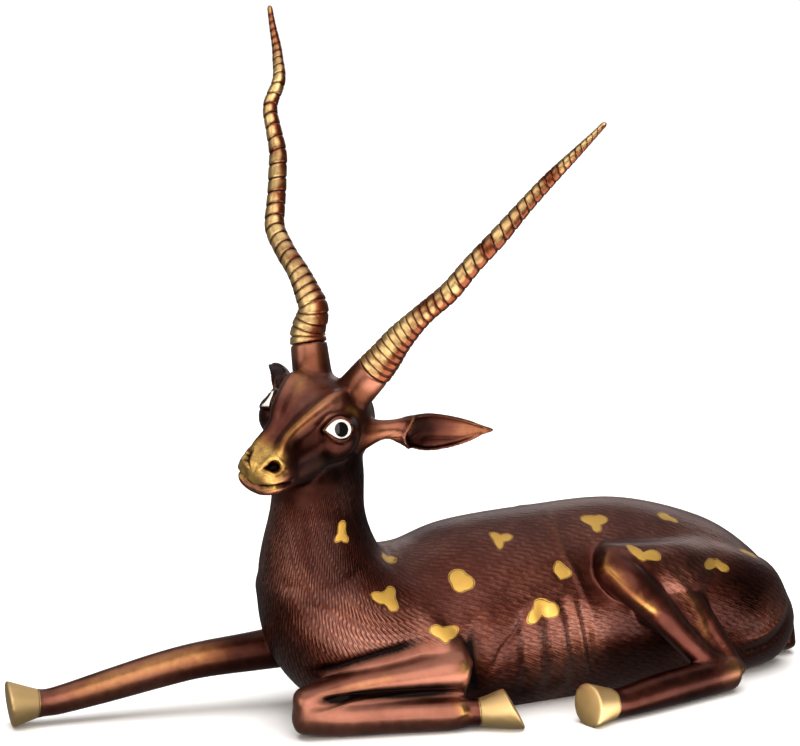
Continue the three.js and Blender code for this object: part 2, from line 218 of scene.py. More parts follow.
HIND_LEG = {
    "shin": [[60, 82, 130, 22, 20], [72, 96, 118, 19, 20], [96, 105, 94, 15, 17], [118, 110, 68, 13, 14],
             [150, 114, 36, 12, 13], [178, 116, 20, 13, 15]],
    "tendon": [[106, 58, 128, 18, 24], [136, 82, 102, 14, 17], [158, 102, 68, 11, 12],
               [176, 110, 36, 10, 11], [182, 115, 20, 12, 14]],
    "web": [[86, 68, 120, 20, 32], [114, 90, 94, 14, 30], [142, 104, 62, 9, 22], [168, 112, 30, 9, 14]],
    "shank": [[177, 116, 20, 14, 18], [140, 122, 19, 14, 18], [80, 132, 18, 14, 17], [46, 137, 16, 13, 15],
              [28, 139, 16, 13, 15], [-3, 144, 20, 20, 22]],
    "thigh": [[62, 72, 134, 26, 22], [94, 76, 124, 27, 30], [132, 72, 110, 30, 40], [176, 52, 96, 34, 46]],
    "haunch": [[110, 44, 104, 40, 48], [176, 54, 86, 42, 54], [228, 54, 56, 40, 62], [264, 46, 38, 34, 43],
               [284, 36, 30, 22, 31]],
}
TAIL = [[258, 0, 111, 7, 6], [284, -1, 86, 10, 8], [302, -8, 54, 12, 10], [306, -20, 33, 13, 11],
        [301, -33, 9, 13, 12]]
HIND_CAPS = {"shin": (20, 10), "tendon": (16, 8), "web": (20, 8), "shank": (11, 1.5), "thigh": (20, 24),
             "haunch": (30, 4)}


def to_side(rows, hand):
    """Rows with y turned to one side: -1 for the animal's left, 1 for its right."""
    return np.asarray(rows, float) * np.array([1, hand, 1, 1, 1])


legs = [
    limb(FORELEG_FOLDED["upper arm"], (24, 10)),
    limb(FORELEG_FOLDED["forearm"], (12, 12)),
    limb(FORELEG_FOLDED["shank"], (12, 1.5), sole=(0.82, -0.3, 0.48)),
    limb(FORELEG_FOLDED["web"], (10, 10)),
    limb(FORELEG_STRETCHED, (12, 1.5), sole=(-0.98, 0.16, -0.1)),
    limb(TAIL, (6, 6)),
]
for hand in (-1, 1):
    for part, rows in HIND_LEG.items():
        sole = (-0.96, hand * 0.2, 0) if part == "shank" else None
        legs.append(limb(to_side(rows, hand), HIND_CAPS[part], sole))
print("legs and tail:", len(legs), "skins")

# %% [markdown]
# The head is modelled in a frame of its own, nose along -X, and then turned to the animal's left, dipped
# and tipped. Its section isn't an oval: from the middle of the forehead the half profile runs over the brow
# ridge, down into the hollow under it, and over the cheek and the jaw to the throat. A smooth closed curve
# runs round each ring and another along the rings.

# %% Head, stubs and eye mounds
HEAD_AT = np.array([-224, -14, 295], float)
HEAD_TURN, HEAD_NOD, HEAD_TIP = np.radians([29, -10, 14])
# x, then forehead height, ridge, hollow, cheek, jaw as (side, height), and throat height
HEAD_SECTIONS = [
    (46, 22, (18, 20), (30, 10), (35, -10), (28, -40), -54),
    (20, 37, (26, 36), (38, 22), (43, -4), (33, -44), -64),
    (-8, 36, (25, 38), (34, 24), (42, 0), (31, -42), -62),
    (-34, 26, (19, 29), (26, 15), (34, -7), (26, -40), -54),
    (-57, 13, (12, 15.5), (19, 3), (25.5, -14), (22, -38), -47),
    (-77, 3, (13, 3), (21, -8.5), (26, -20), (21, -37), -45),
    (-92, -6, (12, -7.5), (19, -14.5), (23, -23), (17, -36), -42),
]
STUB_ROOT = np.array([21, 24, 30], float)
STUB_LENGTH = 30
STUB_BURIED = 14
STUB_FLARE = 1.1
HORN_SPLAY, HORN_LEAN = np.radians([27, 19])
HORN_RADII = [17.5, 14, 10.4, 9.9, 9.1, 8.7, 7.3, 6.4, 4.6, 2.6]  # evenly spaced from seat to tip
EYE_MOUND_AT, EYE_MOUND_SIZE = np.array([-14, 31, 0], float), np.array([26, 20, 24], float)


def turn_about(axis, angle):
    """Rotation matrix about one of the axes x, y or z."""
    return np.array(Matrix.Rotation(angle, 3, axis))


HEAD_WAY = turn_about("Z", HEAD_TURN) @ turn_about("Y", HEAD_NOD) @ turn_about("X", HEAD_TIP)


def from_head(points):
    """Points of the head's frame, placed in the statue's."""
    return np.asarray(points, float) @ HEAD_WAY.T + HEAD_AT


def to_head(points):
    """Points of the statue, in the head's frame."""
    return (points - HEAD_AT) @ HEAD_WAY


def head_skin(steps=10):
    """Two smooth curves crossed: one through the sections along the head, one round each ring."""
    halves = np.array([[(0, top), *side, (0, throat)] for _, top, *side, throat in HEAD_SECTIONS])
    rings = np.concatenate([halves, halves[:, -2:0:-1] * [-1, 1]], axis=1)
    t = along_knots(rings, steps)
    rings = spline_at(rings, t)
    round_t = np.arange(rings.shape[1] * steps) / steps
    rings = spline_at(rings.transpose(1, 0, 2), round_t, closed=True).transpose(1, 0, 2)
    spine = np.zeros((len(t), 3))
    spine[:, 0] = spline_at([s[0] for s in HEAD_SECTIONS], t)
    return carried_skin(spine, np.tile([-1.0, 0, 0], (len(t), 1)), rings, caps=(12, 6))


def pebble(centre, sizes, rows=32, sides=48):
    """Ellipsoid: (cos b cos a, cos b sin a, sin b) times its half sizes."""
    b = np.linspace(-np.pi / 2, np.pi / 2, rows)[:, None]
    a = np.linspace(0, 2 * np.pi, sides, endpoint=False)
    ball = np.stack([np.cos(b) * np.cos(a), np.cos(b) * np.sin(a), np.sin(b) + 0 * a], axis=-1)
    return centre + sizes * ball


def horn_way(hand):
    """The way a horn points in the head's frame: up, back and out to its own side."""
    return np.array([np.sin(HORN_LEAN) * np.cos(HORN_SPLAY), hand * np.sin(HORN_SPLAY),
                     np.cos(HORN_LEAN) * np.cos(HORN_SPLAY)])


def stub(hand):
    """A short cone from inside the skull to the seat of the horn."""
    way = horn_way(hand)
    root = STUB_ROOT * [1, hand, 1]
    share = np.linspace(0, 1, 24)[:, None]
    centres = root + way * (-STUB_BURIED + (STUB_LENGTH + STUB_BURIED) * share)
    radii = HORN_RADII[0] * (STUB_FLARE + (1 - STUB_FLARE) * np.repeat(share, 3, axis=1))
    return carried_skin(centres, np.tile(way, (24, 1)), oval_rings(radii, 48), side=(-1, 0, 0), caps=(0, 0))


sided = np.array([[1, -1, 1], [1, 1, 1]], float)
head_parts = [head_skin(), stub(-1), stub(1)]
head_parts += [pebble(EYE_MOUND_AT * side, EYE_MOUND_SIZE) for side in sided]
print("head:", head_parts[0].shape[0], "rings of", head_parts[0].shape[1])

# %% [markdown]
# An ear is a stalk that opens into a pointed leaf, hollow in front. Cutting the hollow with a boolean would
# leave a ragged wall, so the front half of each oval is pushed back behind the rim instead, which turns the
# ring into a crescent. The hollow starts later at the upper and lower edge, so the opening begins in a U
# round the collar of the stalk. A thin roll along the edge gives the rim its round lip.

# %% Ears
EAR_ROOT = np.array([16, 34, -4], float)
EAR_TIP = {-1: np.array([114, 124, -8], float), 1: np.array([108, 132, -32], float)}
# Share of the way from root to tip, half thickness, half height, sag below the straight line, and the depth
# of the hollow as a share of the thickness
EAR_ROWS = np.array([
    [0, 14, 20, 8, 0],
    [0.2, 8, 10, 0, 0],
    [0.31, 9, 12.5, 1, 0],
    [0.335, 10, 13.8, 1.3, 0],
    [0.365, 11.5, 15.3, 1.6, 1.5],
    [0.52, 13.5, 19.5, 2.7, 1.62],
    [0.66, 11.5, 17.5, 2.6, 1.6],
    [0.8, 8.5, 12.5, 2, 1.5],
    [0.93, 5, 5.5, 0.7, 1.2],
    [1, 2, 2.2, 0, 0],
])
EAR_SIZE = {-1: 1.0, 1: 0.75}  # share of the thickness above: the right ear is thinner
EAR_LIP = 1.8  # half thickness of the rim
EAR_COLLAR = 0.33  # where the stalk opens into the leaf, in the middle
EAR_BITE = 0.07  # how much later it opens at the upper and lower edge, so that the opening is a U


def ear_parts(hand, steps=10, sides=96):
    """The crescent leaf, (thick cos a, high sin a) with the front half taken times 1 - hollow, and one roll
    that runs from the tip along the upper edge, round the collar and back along the lower edge."""
    tip = EAR_TIP[hand]
    t = along_knots(EAR_ROWS, steps)
    share, thick, high, sag, _ = spline_at(EAR_ROWS, t).T
    thick = thick * EAR_SIZE[hand]
    side_turn = np.array([1, hand, 1], float)
    centres = (EAR_ROOT + (tip - EAR_ROOT) * share[:, None]) * side_turn - np.outer(sag, [0, 0, 1])
    facings = np.tile(unit((tip - EAR_ROOT) * side_turn), (len(t), 1))
    front = np.array([-1.0, hand, 0])
    a = np.linspace(0, 2 * np.pi, sides, endpoint=False)
    hollow = np.interp(share[:, None] - EAR_BITE * np.sin(a) ** 2, EAR_ROWS[:, 0], EAR_ROWS[:, 4])
    deep = np.where(np.cos(a) > 0, 1 - hollow, 1)
    rings = np.stack([thick[:, None] * np.cos(a) * deep, high[:, None] * np.sin(a)], axis=-1)
    leaf = carried_skin(centres, facings, rings, side=front, caps=(2, 2))
    open_rows = np.flatnonzero(share > EAR_COLLAR + EAR_BITE + 0.01)
    _, across, top = section_axes(facings, front)
    turn = np.linspace(np.pi / 2, -np.pi / 2, 16)[1:-1]
    opens = EAR_COLLAR + EAR_BITE * np.sin(turn) ** 2
    line = np.stack([np.interp(opens, share, column) for column in (*centres.T, thick, high)], axis=1)
    round_collar = line[:, :3] + np.outer(line[:, 3] * np.cos(turn), across[0])
    round_collar += np.outer(line[:, 4] * np.sin(turn), top[0])
    edges = [centres + sign * (high - 0.6 * EAR_LIP)[:, None] * top for sign in (1, -1)]
    path = np.concatenate([edges[0][open_rows[::-1]], round_collar, edges[1][open_rows]])
    to_tip = np.concatenate([share[open_rows[::-1]], 0 * turn, share[open_rows]])
    lip_size = EAR_LIP * np.clip(6 * (1.02 - to_tip), 0.5, 1) * np.where(to_tip == 0, 1.15, 1)
    lip_size = np.repeat(lip_size[:, None], 3, axis=1)
    lip = carried_skin(path, facings_of(path), oval_rings(lip_size, 16), side=front, caps=(2, 2))
    return [leaf, lip]


ear_skins = [skin for hand in (-1, 1) for skin in ear_parts(hand)]
head_parts += ear_skins
print("ears:", len(ear_skins), "skins")

# %% [markdown]
# The real casting has no joints between these skins, so they are fused into one. A boolean would keep hard
# creases where a leg enters the trunk, while Blender's voxel Remesh rebuilds the whole outside as one even
# net of small squares. Its result is read back into numpy, where every later step works on all points at
# once.

# %% Fuse the skins into one casting
VOXEL = 1.25


def put_mesh(name, points, *face_groups):
    """Writes points in millimetres, and arrays of triangles or quads, as one smooth mesh in metres."""
    mesh = bpy.data.meshes.new(name)
    corners = np.concatenate([faces.ravel() for faces in face_groups])
    sizes = np.concatenate([np.full(len(faces), faces.shape[1]) for faces in face_groups])
    mesh.vertices.add(len(points))
    mesh.vertices.foreach_set("co", np.asarray(points * METRE, np.float32).ravel())
    mesh.loops.add(len(corners))
    mesh.loops.foreach_set("vertex_index", corners.astype(np.int32))
    mesh.polygons.add(len(sizes))
    mesh.polygons.foreach_set("loop_start", (np.cumsum(sizes) - sizes).astype(np.int32))
    mesh.update(calc_edges=True)
    mesh.validate()
    mesh.shade_smooth()
    return mesh


def ring_faces(rows, sides, start=0):
    """Quads between neighbouring rings of a grid whose rings close on themselves."""
    index = np.arange(rows * sides).reshape(rows, sides) + start
    beside = np.roll(index, -1, axis=1)
    return np.stack([index[:-1], beside[:-1], beside[1:], index[1:]], axis=-1).reshape(-1, 4)


def read_points(mesh):
    """The mesh's points, in millimetres."""
    flat = np.empty(3 * len(mesh.vertices), np.float32)
    mesh.vertices.foreach_get("co", flat)
    return flat.reshape(-1, 3).astype(float) / METRE


def read_indices(items, key, width):
    """Whole-number rows of a mesh's edges or faces."""
    flat = np.empty(width * len(items), np.int32)
    items.foreach_get(key, flat)
    return flat.reshape(-1, width)


def after_modifier(mesh, kind, **settings):
    """A new mesh: the old one as one modifier leaves it."""
    carrier = bpy.data.objects.new("carrier", mesh)
    bpy.context.scene.collection.objects.link(carrier)
    modifier = carrier.modifiers.new("shaping", kind)
    for name, value in settings.items():
        setattr(modifier, name, value)
    shaped = bpy.data.meshes.new_from_object(carrier.evaluated_get(bpy.context.evaluated_depsgraph_get()))
    bpy.data.objects.remove(carrier)
    return shaped


skins = [trunk] + legs + [from_head(part) for part in head_parts]
starts = np.cumsum([0] + [skin.shape[0] * skin.shape[1] for skin in skins])
quads = [ring_faces(skin.shape[0], skin.shape[1], start) for skin, start in zip(skins, starts)]
loose = put_mesh("skins", np.concatenate([skin.reshape(-1, 3) for skin in skins]), *quads)
fused = after_modifier(loose, "REMESH", mode="VOXEL", voxel_size=VOXEL * METRE)
points = read_points(fused)
edges = read_indices(fused.edges, "vertices", 2)
faces = read_indices(fused.loops, "vertex_index", 1).reshape(-1, 4)
print("fused casting:", len(points), "points,", len(faces), "faces")

# %% [markdown]
# A foundry's wax is rubbed smooth where limbs meet. Averaging each point with its neighbours does the same:
# it fills the creases and rounds them over a few millimetres. The thin edges of ears, hooves and stubs
# would melt away, so they move less. After it the underside is set flat on the ground, as the casting was
# ground off.

# %% Smooth the wax
SMOOTHINGS = 26
RUB = 0.6  # share of the way to its neighbours' mean that a point moves
SOLES = np.array([[-68, -116, 19], [-494, 102, 23], [2, -144, 20], [2, 144, 20]], float)


def smooth_step(value, low, high):
    """0 below low, 1 above high, and 3 s^2 - 2 s^3 between them."""
    s = np.clip((value - low) / (high - low), 0, 1)
    return s * s * (3 - 2 * s)


def neighbour_mean(values, edges):
    """Mean of each point's neighbours, summed along the edges."""
    count = len(values)
    ends, others = np.concatenate([edges, edges[:, ::-1]]).T
    degree = np.bincount(ends, minlength=count)
    columns = values.reshape(count, -1).T
    means = [np.bincount(ends, weights=column[others], minlength=count) / degree for column in columns]
    return np.stack(means, axis=1).reshape(values.shape)


def squares(points, places):
    """Squared distance from each point p to each of a few places q: p^2 - 2 p q + q^2."""
    return (points**2).sum(1)[:, None] - 2 * points @ places.T + (places**2).sum(1)


def distance_to(points, places):
    """Distance from each point to the nearest of a few places."""
    return np.sqrt(np.maximum(squares(points, places).min(axis=1), 0))


in_head = to_head(points)
soft = np.ones(len(points))
soft *= 1 - 0.85 * smooth_step(np.abs(in_head[:, 1]), 50, 60) * (in_head[:, 0] > 20) * (in_head[:, 2] < 45)
soft *= 0.25 + 0.75 * smooth_step(distance_to(points, SOLES), 22, 34)
soft *= 1 - 0.7 * smooth_step(in_head[:, 2], 48, 54)
soft *= 1 - 0.5 * smooth_step(-in_head[:, 0], 50, 70) * (np.abs(in_head[:, 1]) < 40) * (in_head[:, 2] > -60)
for _ in range(SMOOTHINGS):
    points += (RUB * soft)[:, None] * (neighbour_mean(points, edges) - points)
points[:, 2] = np.maximum(points[:, 2], 0)
print("smoothed; lowest point", points[:, 2].min())

# %% [markdown]
# Chased lines and ridges are strokes along a curve on the skin: a bell-shaped height, exp(-(d / width)^2),
# of the distance d from the curve. The curves are short lists of places on the left flank, given with y
# towards the viewer's side as positive, and most of them are cut on both sides. The same bell also rubs
# away the ledge where the top of the thigh leaves the flank.


# %% Strokes along a curve
def distance_from_curve(points, knots, reach):
    """Distance to a smooth curve through the knots, and the share of the way along it. Points further from
    the curve's box than `reach` keep a large distance."""
    path = spline_at(np.asarray(knots, float), along_knots(knots, 16))
    far = np.full(len(points), 1e3)
    share = np.zeros(len(points))
    low, high = path.min(0) - reach, path.max(0) + reach
    near = np.flatnonzero(((points > low) & (points < high)).all(axis=1))
    square = ((points[near, None] - path[None]) ** 2).sum(-1)
    nearest = square.argmin(axis=1)
    far[near] = np.sqrt(square[np.arange(len(near)), nearest])
    share[near] = nearest / (len(path) - 1)
    return far, share


def bell(points, knots, width):
    """exp(-(d / width)^2), fading out towards both ends of the curve."""
    far, share = distance_from_curve(points, knots, 4 * width)
    return np.exp(-((far / width) ** 2)) * (0.35 + 0.65 * np.clip(5 * np.minimum(share, 1 - share), 0, 1))


def point_normals(points, faces):
    """Mean of the normals of the faces round each point, each face's normal from its two diagonals."""
    a, b, c, d = points[faces.T]
    normal = np.cross(c - a, d - b)
    corner = faces.ravel()
    columns = [np.bincount(corner, weights=np.repeat(n, 4), minlength=len(points)) for n in normal.T]
    return unit(np.stack(columns, axis=1) + 1e-12)


def mirrored(points):
    """Points with y turned to one side, so that one curve serves both flanks."""
    return points * [1, 0, 1] + np.abs(points) * [0, 1, 0]


def rub_in(points, edges, knots, width, rounds):
    """The same averaging as before, but many times over and only along a curve, weighed by its bell."""
    weight = bell(mirrored(points), knots, width)
    patch = np.flatnonzero(weight > 0.01)
    number = np.full(len(points), -1)
    number[patch] = np.arange(len(patch))
    inside = number[edges]
    itself = np.stack([number[patch], number[patch]], axis=1)
    inside = np.concatenate([inside[(inside >= 0).all(axis=1)], itself])
    part = points[patch]
    for _ in range(rounds):
        part += (RUB * weight[patch])[:, None] * (neighbour_mean(part, inside) - part)
    points[patch] = part


THIGH_SHELF = [(70, 71, 152), (92, 68, 152), (118, 65, 151), (145, 60, 149), (172, 55, 145), (200, 50, 138)]
rub_in(points, edges, THIGH_SHELF, 15, 240)
normals = point_normals(points, faces)
print("normals of", len(normals), "points")

# %% [markdown]
# The face is what the eye goes to first. Two sharp ridges run from the horn stubs down the nose and turn out
# above the nostrils, with a hollow under each. The lids stand round an almond-shaped opening for the
# enamel, the nostrils are deep commas, and the mouth is a dark line above a full lower lip.

# %% Carve the face
BROW_RIDGE = [(10, 31, 42), (-5, 24, 38.5), (-27, 19, 31.5), (-45, 14, 22.5), (-62, 10.5, 12.8),
              (-73, 12, 6.5), (-80, 18, -1)]
FAR_BROW = [(2, 31, 38), (-18, 25, 32), (-38, 20, 23), (-54, 15, 13)]  # the right brow stands fuller
UNDER_BROW = [(-2, 34, 28), (-24, 27.5, 19), (-45, 21.5, 10), (-62, 18, 2)]
LIP_LINE = [(-69.5, 25, -27.5), (-77.5, 25, -27.6), (-85.5, 24, -26.5), (-92, 21.5, -26), (-95, 17, -27.3),
            (-96.5, 12, -28.8), (-97, 6, -30.5), (-97, 0, -31.5)]
LOWER_LIP = [(-80, 24, -31.5), (-88, 20, -33), (-93.5, 13, -34.5), (-95, 6, -36), (-95.5, 0, -36.5)]
CHEEK_HOLLOW = [(-30, 33, -14), (-50, 28, -20), (-66, 26, -24)]
JAW_EDGE = [(16, 41, -34), (-12, 36, -42), (-40, 27, -44)]
# Each stroke: knots, width, height, and whether it is cut on both sides
FACE_STROKES = [
    (BROW_RIDGE, 5.4, 2.8, True), (FAR_BROW, 8, 4.5, False), (UNDER_BROW, 6.5, -2.2, True),
    (LIP_LINE, 2.0, -4.6, True), (LOWER_LIP, 4.0, 1.4, True), (CHEEK_HOLLOW, 9, -1.6, True),
    (JAW_EDGE, 7, 1.2, True),
]
EYE_AT = np.array([-25.7, 42.9, 16])
EYE_OUT = unit([-0.42, 0.74, 0.53])
EYE_BACK = unit(np.cross(np.cross(EYE_OUT, [1, 0.1, -0.35]), EYE_OUT))
EYE_UP = np.cross(EYE_BACK, EYE_OUT)
EYE_BALL = 26.0
NOSTRIL_AT = np.array([-90.5, 14, -8.5])
NOSTRIL_OUT = unit([-0.62, 0.5, 0.6])
NOSTRIL_ALONG = unit(np.cross(np.cross(NOSTRIL_OUT, [0.55, 0.78, 0.32]), NOSTRIL_OUT))


def almond(u, v):
    """How far a point is inside the eye's opening, in mm: its height at u is a half ellipse at the back and a
    parabola that comes to a point at the front corner, less the distance from the middle line."""
    back = np.sqrt(np.clip(1 - ((u - 1) / 10.5) ** 2, 0, None))
    front = np.clip(1 - ((u - 1) / 14) ** 2, 0, None)
    return 8.4 * np.where(u > 1, back, front) - np.abs(v) - np.clip(np.abs(u + 0.75) - 12.25, 0, None)


def comma(u, v):
    """How far a point is inside a nostril: a drop, round at its outer end and drawn out at its inner end."""
    half = np.where(u > 1, 7.0 * np.sqrt(np.clip(1 - ((u - 1) / 8.5) ** 2, 0, None)),
                    7.0 * np.clip(1 + (u - 1) / 14.5, 0, 1) ** 1.4)
    return half - np.abs(v - 0.012 * u * u) - np.clip(np.abs(u) - 14, 0, None)


def nostril_inside(face_side, reach):
    """How far a point is inside a nostril, in mm, among those within `reach` of the plane of its rim."""
    arm = face_side - NOSTRIL_AT
    inside = comma(arm @ NOSTRIL_ALONG, arm @ np.cross(NOSTRIL_OUT, NOSTRIL_ALONG))
    return np.where(np.abs(arm @ NOSTRIL_OUT) < reach, inside, -99)


def eye_frame(in_head):
    """Back, up and outward distances from the middle of the eye, on either side of the head."""
    return (mirrored(in_head) - EYE_AT) @ np.stack([EYE_BACK, EYE_UP, EYE_OUT], axis=1)


face_at = to_head(points)
face_side = mirrored(face_at)
near_face = (np.abs(face_at[:, 1]) < 56) & (face_at[:, 2] > -70)
near_face &= (face_at[:, 0] < 40) & (face_at[:, 0] > -115)
height = np.zeros(len(points))
for knots, width, rise, both in FACE_STROKES:
    height += rise * bell(face_side if both else face_at, knots, width)
eye_u, eye_v, eye_w = eye_frame(face_at).T
opening = almond(eye_u, eye_v)
beside_eye = near_face & (eye_w > -14)
ball_gap = np.sqrt(eye_u**2 + eye_v**2 + (eye_w + EYE_BALL) ** 2) - EYE_BALL
lid_pull = np.where(opening < 0, np.exp(-((opening / 6.0) ** 4)), 0)
lid = lid_pull * (1.2 - ball_gap) + 0.8 * np.exp(-(((opening + 1.5) / 1.2) ** 2))
lid -= 1.0 * np.exp(-(((opening + 4.4) / 1.0) ** 2))
socket = smooth_step(opening, -0.3, 1.0) * (-2.6 - ball_gap)
height += np.where(beside_eye & (opening > -14) & (opening < 0), np.clip(lid, -3, 8), 0)
eye_push = np.where(beside_eye & (opening > -0.3), socket, 0)
nostril = nostril_inside(face_side, 12)
height += -7.5 * smooth_step(nostril, -0.2, 3.6) + 1.1 * np.exp(-(((nostril + 1.8) / 2.2) ** 2))
print("face: relief from", height.min().round(2), "to", height.max().round(2), "mm")

# %% [markdown]
# The body's carving is broader: hollows between the ribs, the edge of the rib cage, the raised seam where
# two halves of the wax were joined, the fold of the neck, the crease over the folded foreleg and the sharp
# shin.

# %% Carve the body
# Each stroke: knots, width, height, and whether it is cut on both flanks
BODY_STROKES = [
    ([(-43, 87, 98), (-39, 83, 60), (-32, 72, 22)], 6.0, -4.4, True),
    ([(-18, 88, 104), (-11, 84, 64), (-2, 74, 22)], 6.0, -4.6, True),
    ([(4, 87, 106), (14, 84, 65), (26, 73, 22)], 6.0, -4.6, True),
    ([(21, 89, 101), (30, 87, 68), (40, 79, 32)], 5.5, -4.0, True),
    ([(-31, 86, 98), (-25, 84, 62), (-17, 74, 24)], 5.5, 3.2, True),
    ([(-7, 88, 102), (2, 85, 64), (11, 75, 24)], 5.5, 3.2, True),
    ([(13, 88, 102), (22, 86, 66), (33, 77, 26)], 5.5, 3.0, True),
    ([(-34, 87, 112), (-50, 88, 86), (-66, 86, 68), (-74, 81, 46)], 3.2, -1.6, True),
    ([(27, 0, 184), (20, 24, 180), (15, 49, 168), (14, 66, 152), (22, 81, 125), (31, 88, 95), (43, 84, 52),
      (59, 60, 13)], 4.0, 1.3, True),
    ([(-90, 84, 98), (-93, 86, 78), (-90, 85, 58), (-82, 78, 28)], 8.0, -4.5, True),
    ([(-279, 18, 147), (-259, 48, 143), (-235, 63, 143), (-212, 66, 153), (-190, 62, 170)], 5.0, -1.5, True),
    ([(-279, 18, 132), (-259, 50, 128), (-230, 68, 126)], 9.0, 1.4, True),
    ([(62, 80, 150), (47, 92, 140), (55, 104, 127), (72, 113, 107), (92, 118, 90)], 4.5, 2.0, True),
    ([(112, 98, 124), (126, 101, 112), (138, 102, 97), (144, 106, 83), (149, 109, 70)], 4.5, 1.6, True),
    ([(84, 108, 122), (104, 110, 98), (126, 111, 74), (150, 114, 44)], 4.0, -1.6, True),
    ([(267, 79, 72), (259, 83, 62), (246, 88, 51), (230, 91, 44), (212, 90, 40)], 4.5, 2.2, True),
    ([(266, 81, 52), (250, 84, 38), (232, 86, 31), (209, 87, 29)], 4.5, -3.2, True),
    ([(-120, 100, 28), (-119, 107, 22), (-117, 109, 17)], 5.0, 2.0, False),
    ([(-248, 71, 40), (-228, 78, 39.5), (-200, 85, 39), (-156, 93, 38), (-118, 101, 37)], 4.2, -6.0, False),
    ([(-245, 40, 60), (-232, 55, 66), (-212, 69, 73), (-190, 76, 79), (-171, 80, 83), (-150, 84, 88)],
     4.5, -3.2, False),
]
body_side = mirrored(points)
left_side = points * [1, -1, 1]
for knots, width, rise, both in BODY_STROKES:
    height += rise * bell(body_side if both else left_side, knots, width)
points += height[:, None] * normals
outward = from_head(EYE_OUT * sided) - HEAD_AT
eye_pick = (face_at[:, 1] > 0).astype(int)
points += eye_push[:, None] * outward[eye_pick]
for _ in range(2):
    points += 0.3 * (neighbour_mean(points, edges) - points)
points[:, 2] = np.maximum(points[:, 2], 0)
print("carved", len(BODY_STROKES), "strokes on the body")

# %% [markdown]
# The spots and the hooves were scraped back to bright brass, each inside an engraved line. We work them out
# as a distance in millimetres to their edge, because a distance stays crisp when it is blended over a
# triangle, while a 0-or-1 mask would be jagged. The chaser left them smooth, so the hair has to know where
# they are.

# %% Polished spots and hooves
# Centre, and the radius in mm at every twelfth of a turn, from straight ahead and then up
SPOTS = [
    ((-216, 49, 192), (4.3, 5.7, 11.8, 10.7, 6.1, 5, 6.2, 10.6, 6.8, 8.7, 9.6, 5.2)),
    ((-158, 35, 157), (8.2, 4.4, 3.3, 8.4, 8.9, 11.8, 11.2, 5.9, 3.7, 3, 3, 4.1)),
    ((-179, 70, 129), (9.1, 14.3, 12.4, 8.2, 9.6, 17.9, 11.8, 6.9, 7, 12.5, 13.9, 10)),
    ((-99, 67, 136), (11.1, 8.5, 11.3, 12.9, 13.3, 12.7, 10.9, 12.5, 12.9, 10.8, 12.6, 13.2)),
    ((-128, 86, 93), (17.5, 9.4, 6.3, 6.7, 11.7, 15, 10.1, 7, 8, 9.6, 8.4, 12.7)),
    ((-44, 44, 165), (14.2, 9.7, 5.8, 9.5, 12.5, 9.4, 8.3, 10.7, 14.2, 6.7, 6, 9.8)),
    ((6, 76, 135), (7.8, 7.1, 8.2, 10.3, 9.2, 8.9, 8.6, 7.8, 9.5, 8.5, 9.3, 11.3)),
    ((-22, 87, 102), (17.5, 11.4, 11.1, 11.7, 12.4, 10.3, 15, 18.5, 8, 5.5, 11.1, 17.4)),
    ((64, 42, 169), (15.5, 15.5, 10.2, 10.2, 13.9, 15.5, 10.6, 8.7, 14.3, 11.9, 7.1, 9.2)),
    ((152, 37, 161), (10.1, 6.4, 8.9, 9.7, 10.3, 11.8, 9.6, 6.4, 4.1, 4.3, 5.7, 12)),
    ((88, 93, 145), (16.2, 6, 3, 3.6, 18.5, 15, 10.1, 8.7, 7.8, 6.6, 8.7, 18.6)),
    ((179, 83, 121), (8.6, 7.2, 6.9, 5.9, 7.7, 14.2, 18.9, 5.3, 3.1, 3.8, 11.6, 15.4)),
    ((233, 57, 120), (11.9, 8.3, 7.9, 5.9, 6.2, 10.7, 11.5, 6.9, 6.1, 8.2, 11.5, 8.6)),
]
LINE_INSET, LINE_WIDTH = 0.8, 0.42  # mm, the engraved line just inside the edge
LINE_DEPTH = 0.2
RIGHT_SHIFT = 13  # the right flank's spots are set a little further back
HOOF_ROUND = 26
HOOF_EDGES = [((-99, -103, 17), (0.94, -0.33, 0.06)), ((-467, 98, 21), (-0.98, 0.15, 0.07)),
              ((26, -140, 16), (-0.97, -0.2, 0)), ((26, 140, 16), (-0.97, 0.2, 0))]


def spot_distance(points, centre, radii, hand):
    """Distance in mm inside a spot: on the plane that touches the skin there, a smooth closed curve through
    the radii, less the distance from the spot's middle."""
    centre = np.array(centre, float) * [1, hand, 1]
    out = unit(centre - trunk_centres[distance_to(trunk_centres, centre[None]).argmin()])
    across = unit(np.cross(out, [1, 0, 0.15]))
    ahead = np.cross(across, out)
    arm = points - centre
    a, b = arm @ ahead, arm @ across * -hand
    turn = np.mod(np.arctan2(b, a) / (2 * np.pi), 1) * len(radii)
    edge = spline_at(radii, turn, closed=True)
    return np.where(np.abs(arm @ out) < 26, edge - np.hypot(a, b), -60)


def hoof_distance(points):
    """Distance in mm past the top edge of the nearest hoof, along its leg."""
    best = np.full(len(points), -60.0)
    for at, way in HOOF_EDGES:
        arm = points - np.array(at)
        past = arm @ unit(way)
        aside = np.linalg.norm(arm - past[:, None] * unit(way), axis=1)
        best = np.maximum(best, np.where((aside < HOOF_ROUND) & (np.abs(past) < 60), past, -60))
    return best


def polished_distance(points):
    """Distance in mm inside the nearest polished spot or hoof, on either flank."""
    polished = hoof_distance(points)
    for centre, radii in SPOTS:
        polished = np.maximum(polished, spot_distance(points, centre, radii, -1))
        shifted = np.array(centre) + [RIGHT_SHIFT, 0, 0]
        polished = np.maximum(polished, spot_distance(points, shifted, radii, 1))
    return polished


polished = polished_distance(points)
print("polished share of the skin:", round(100 * float((polished > 0).mean()), 1), "%")

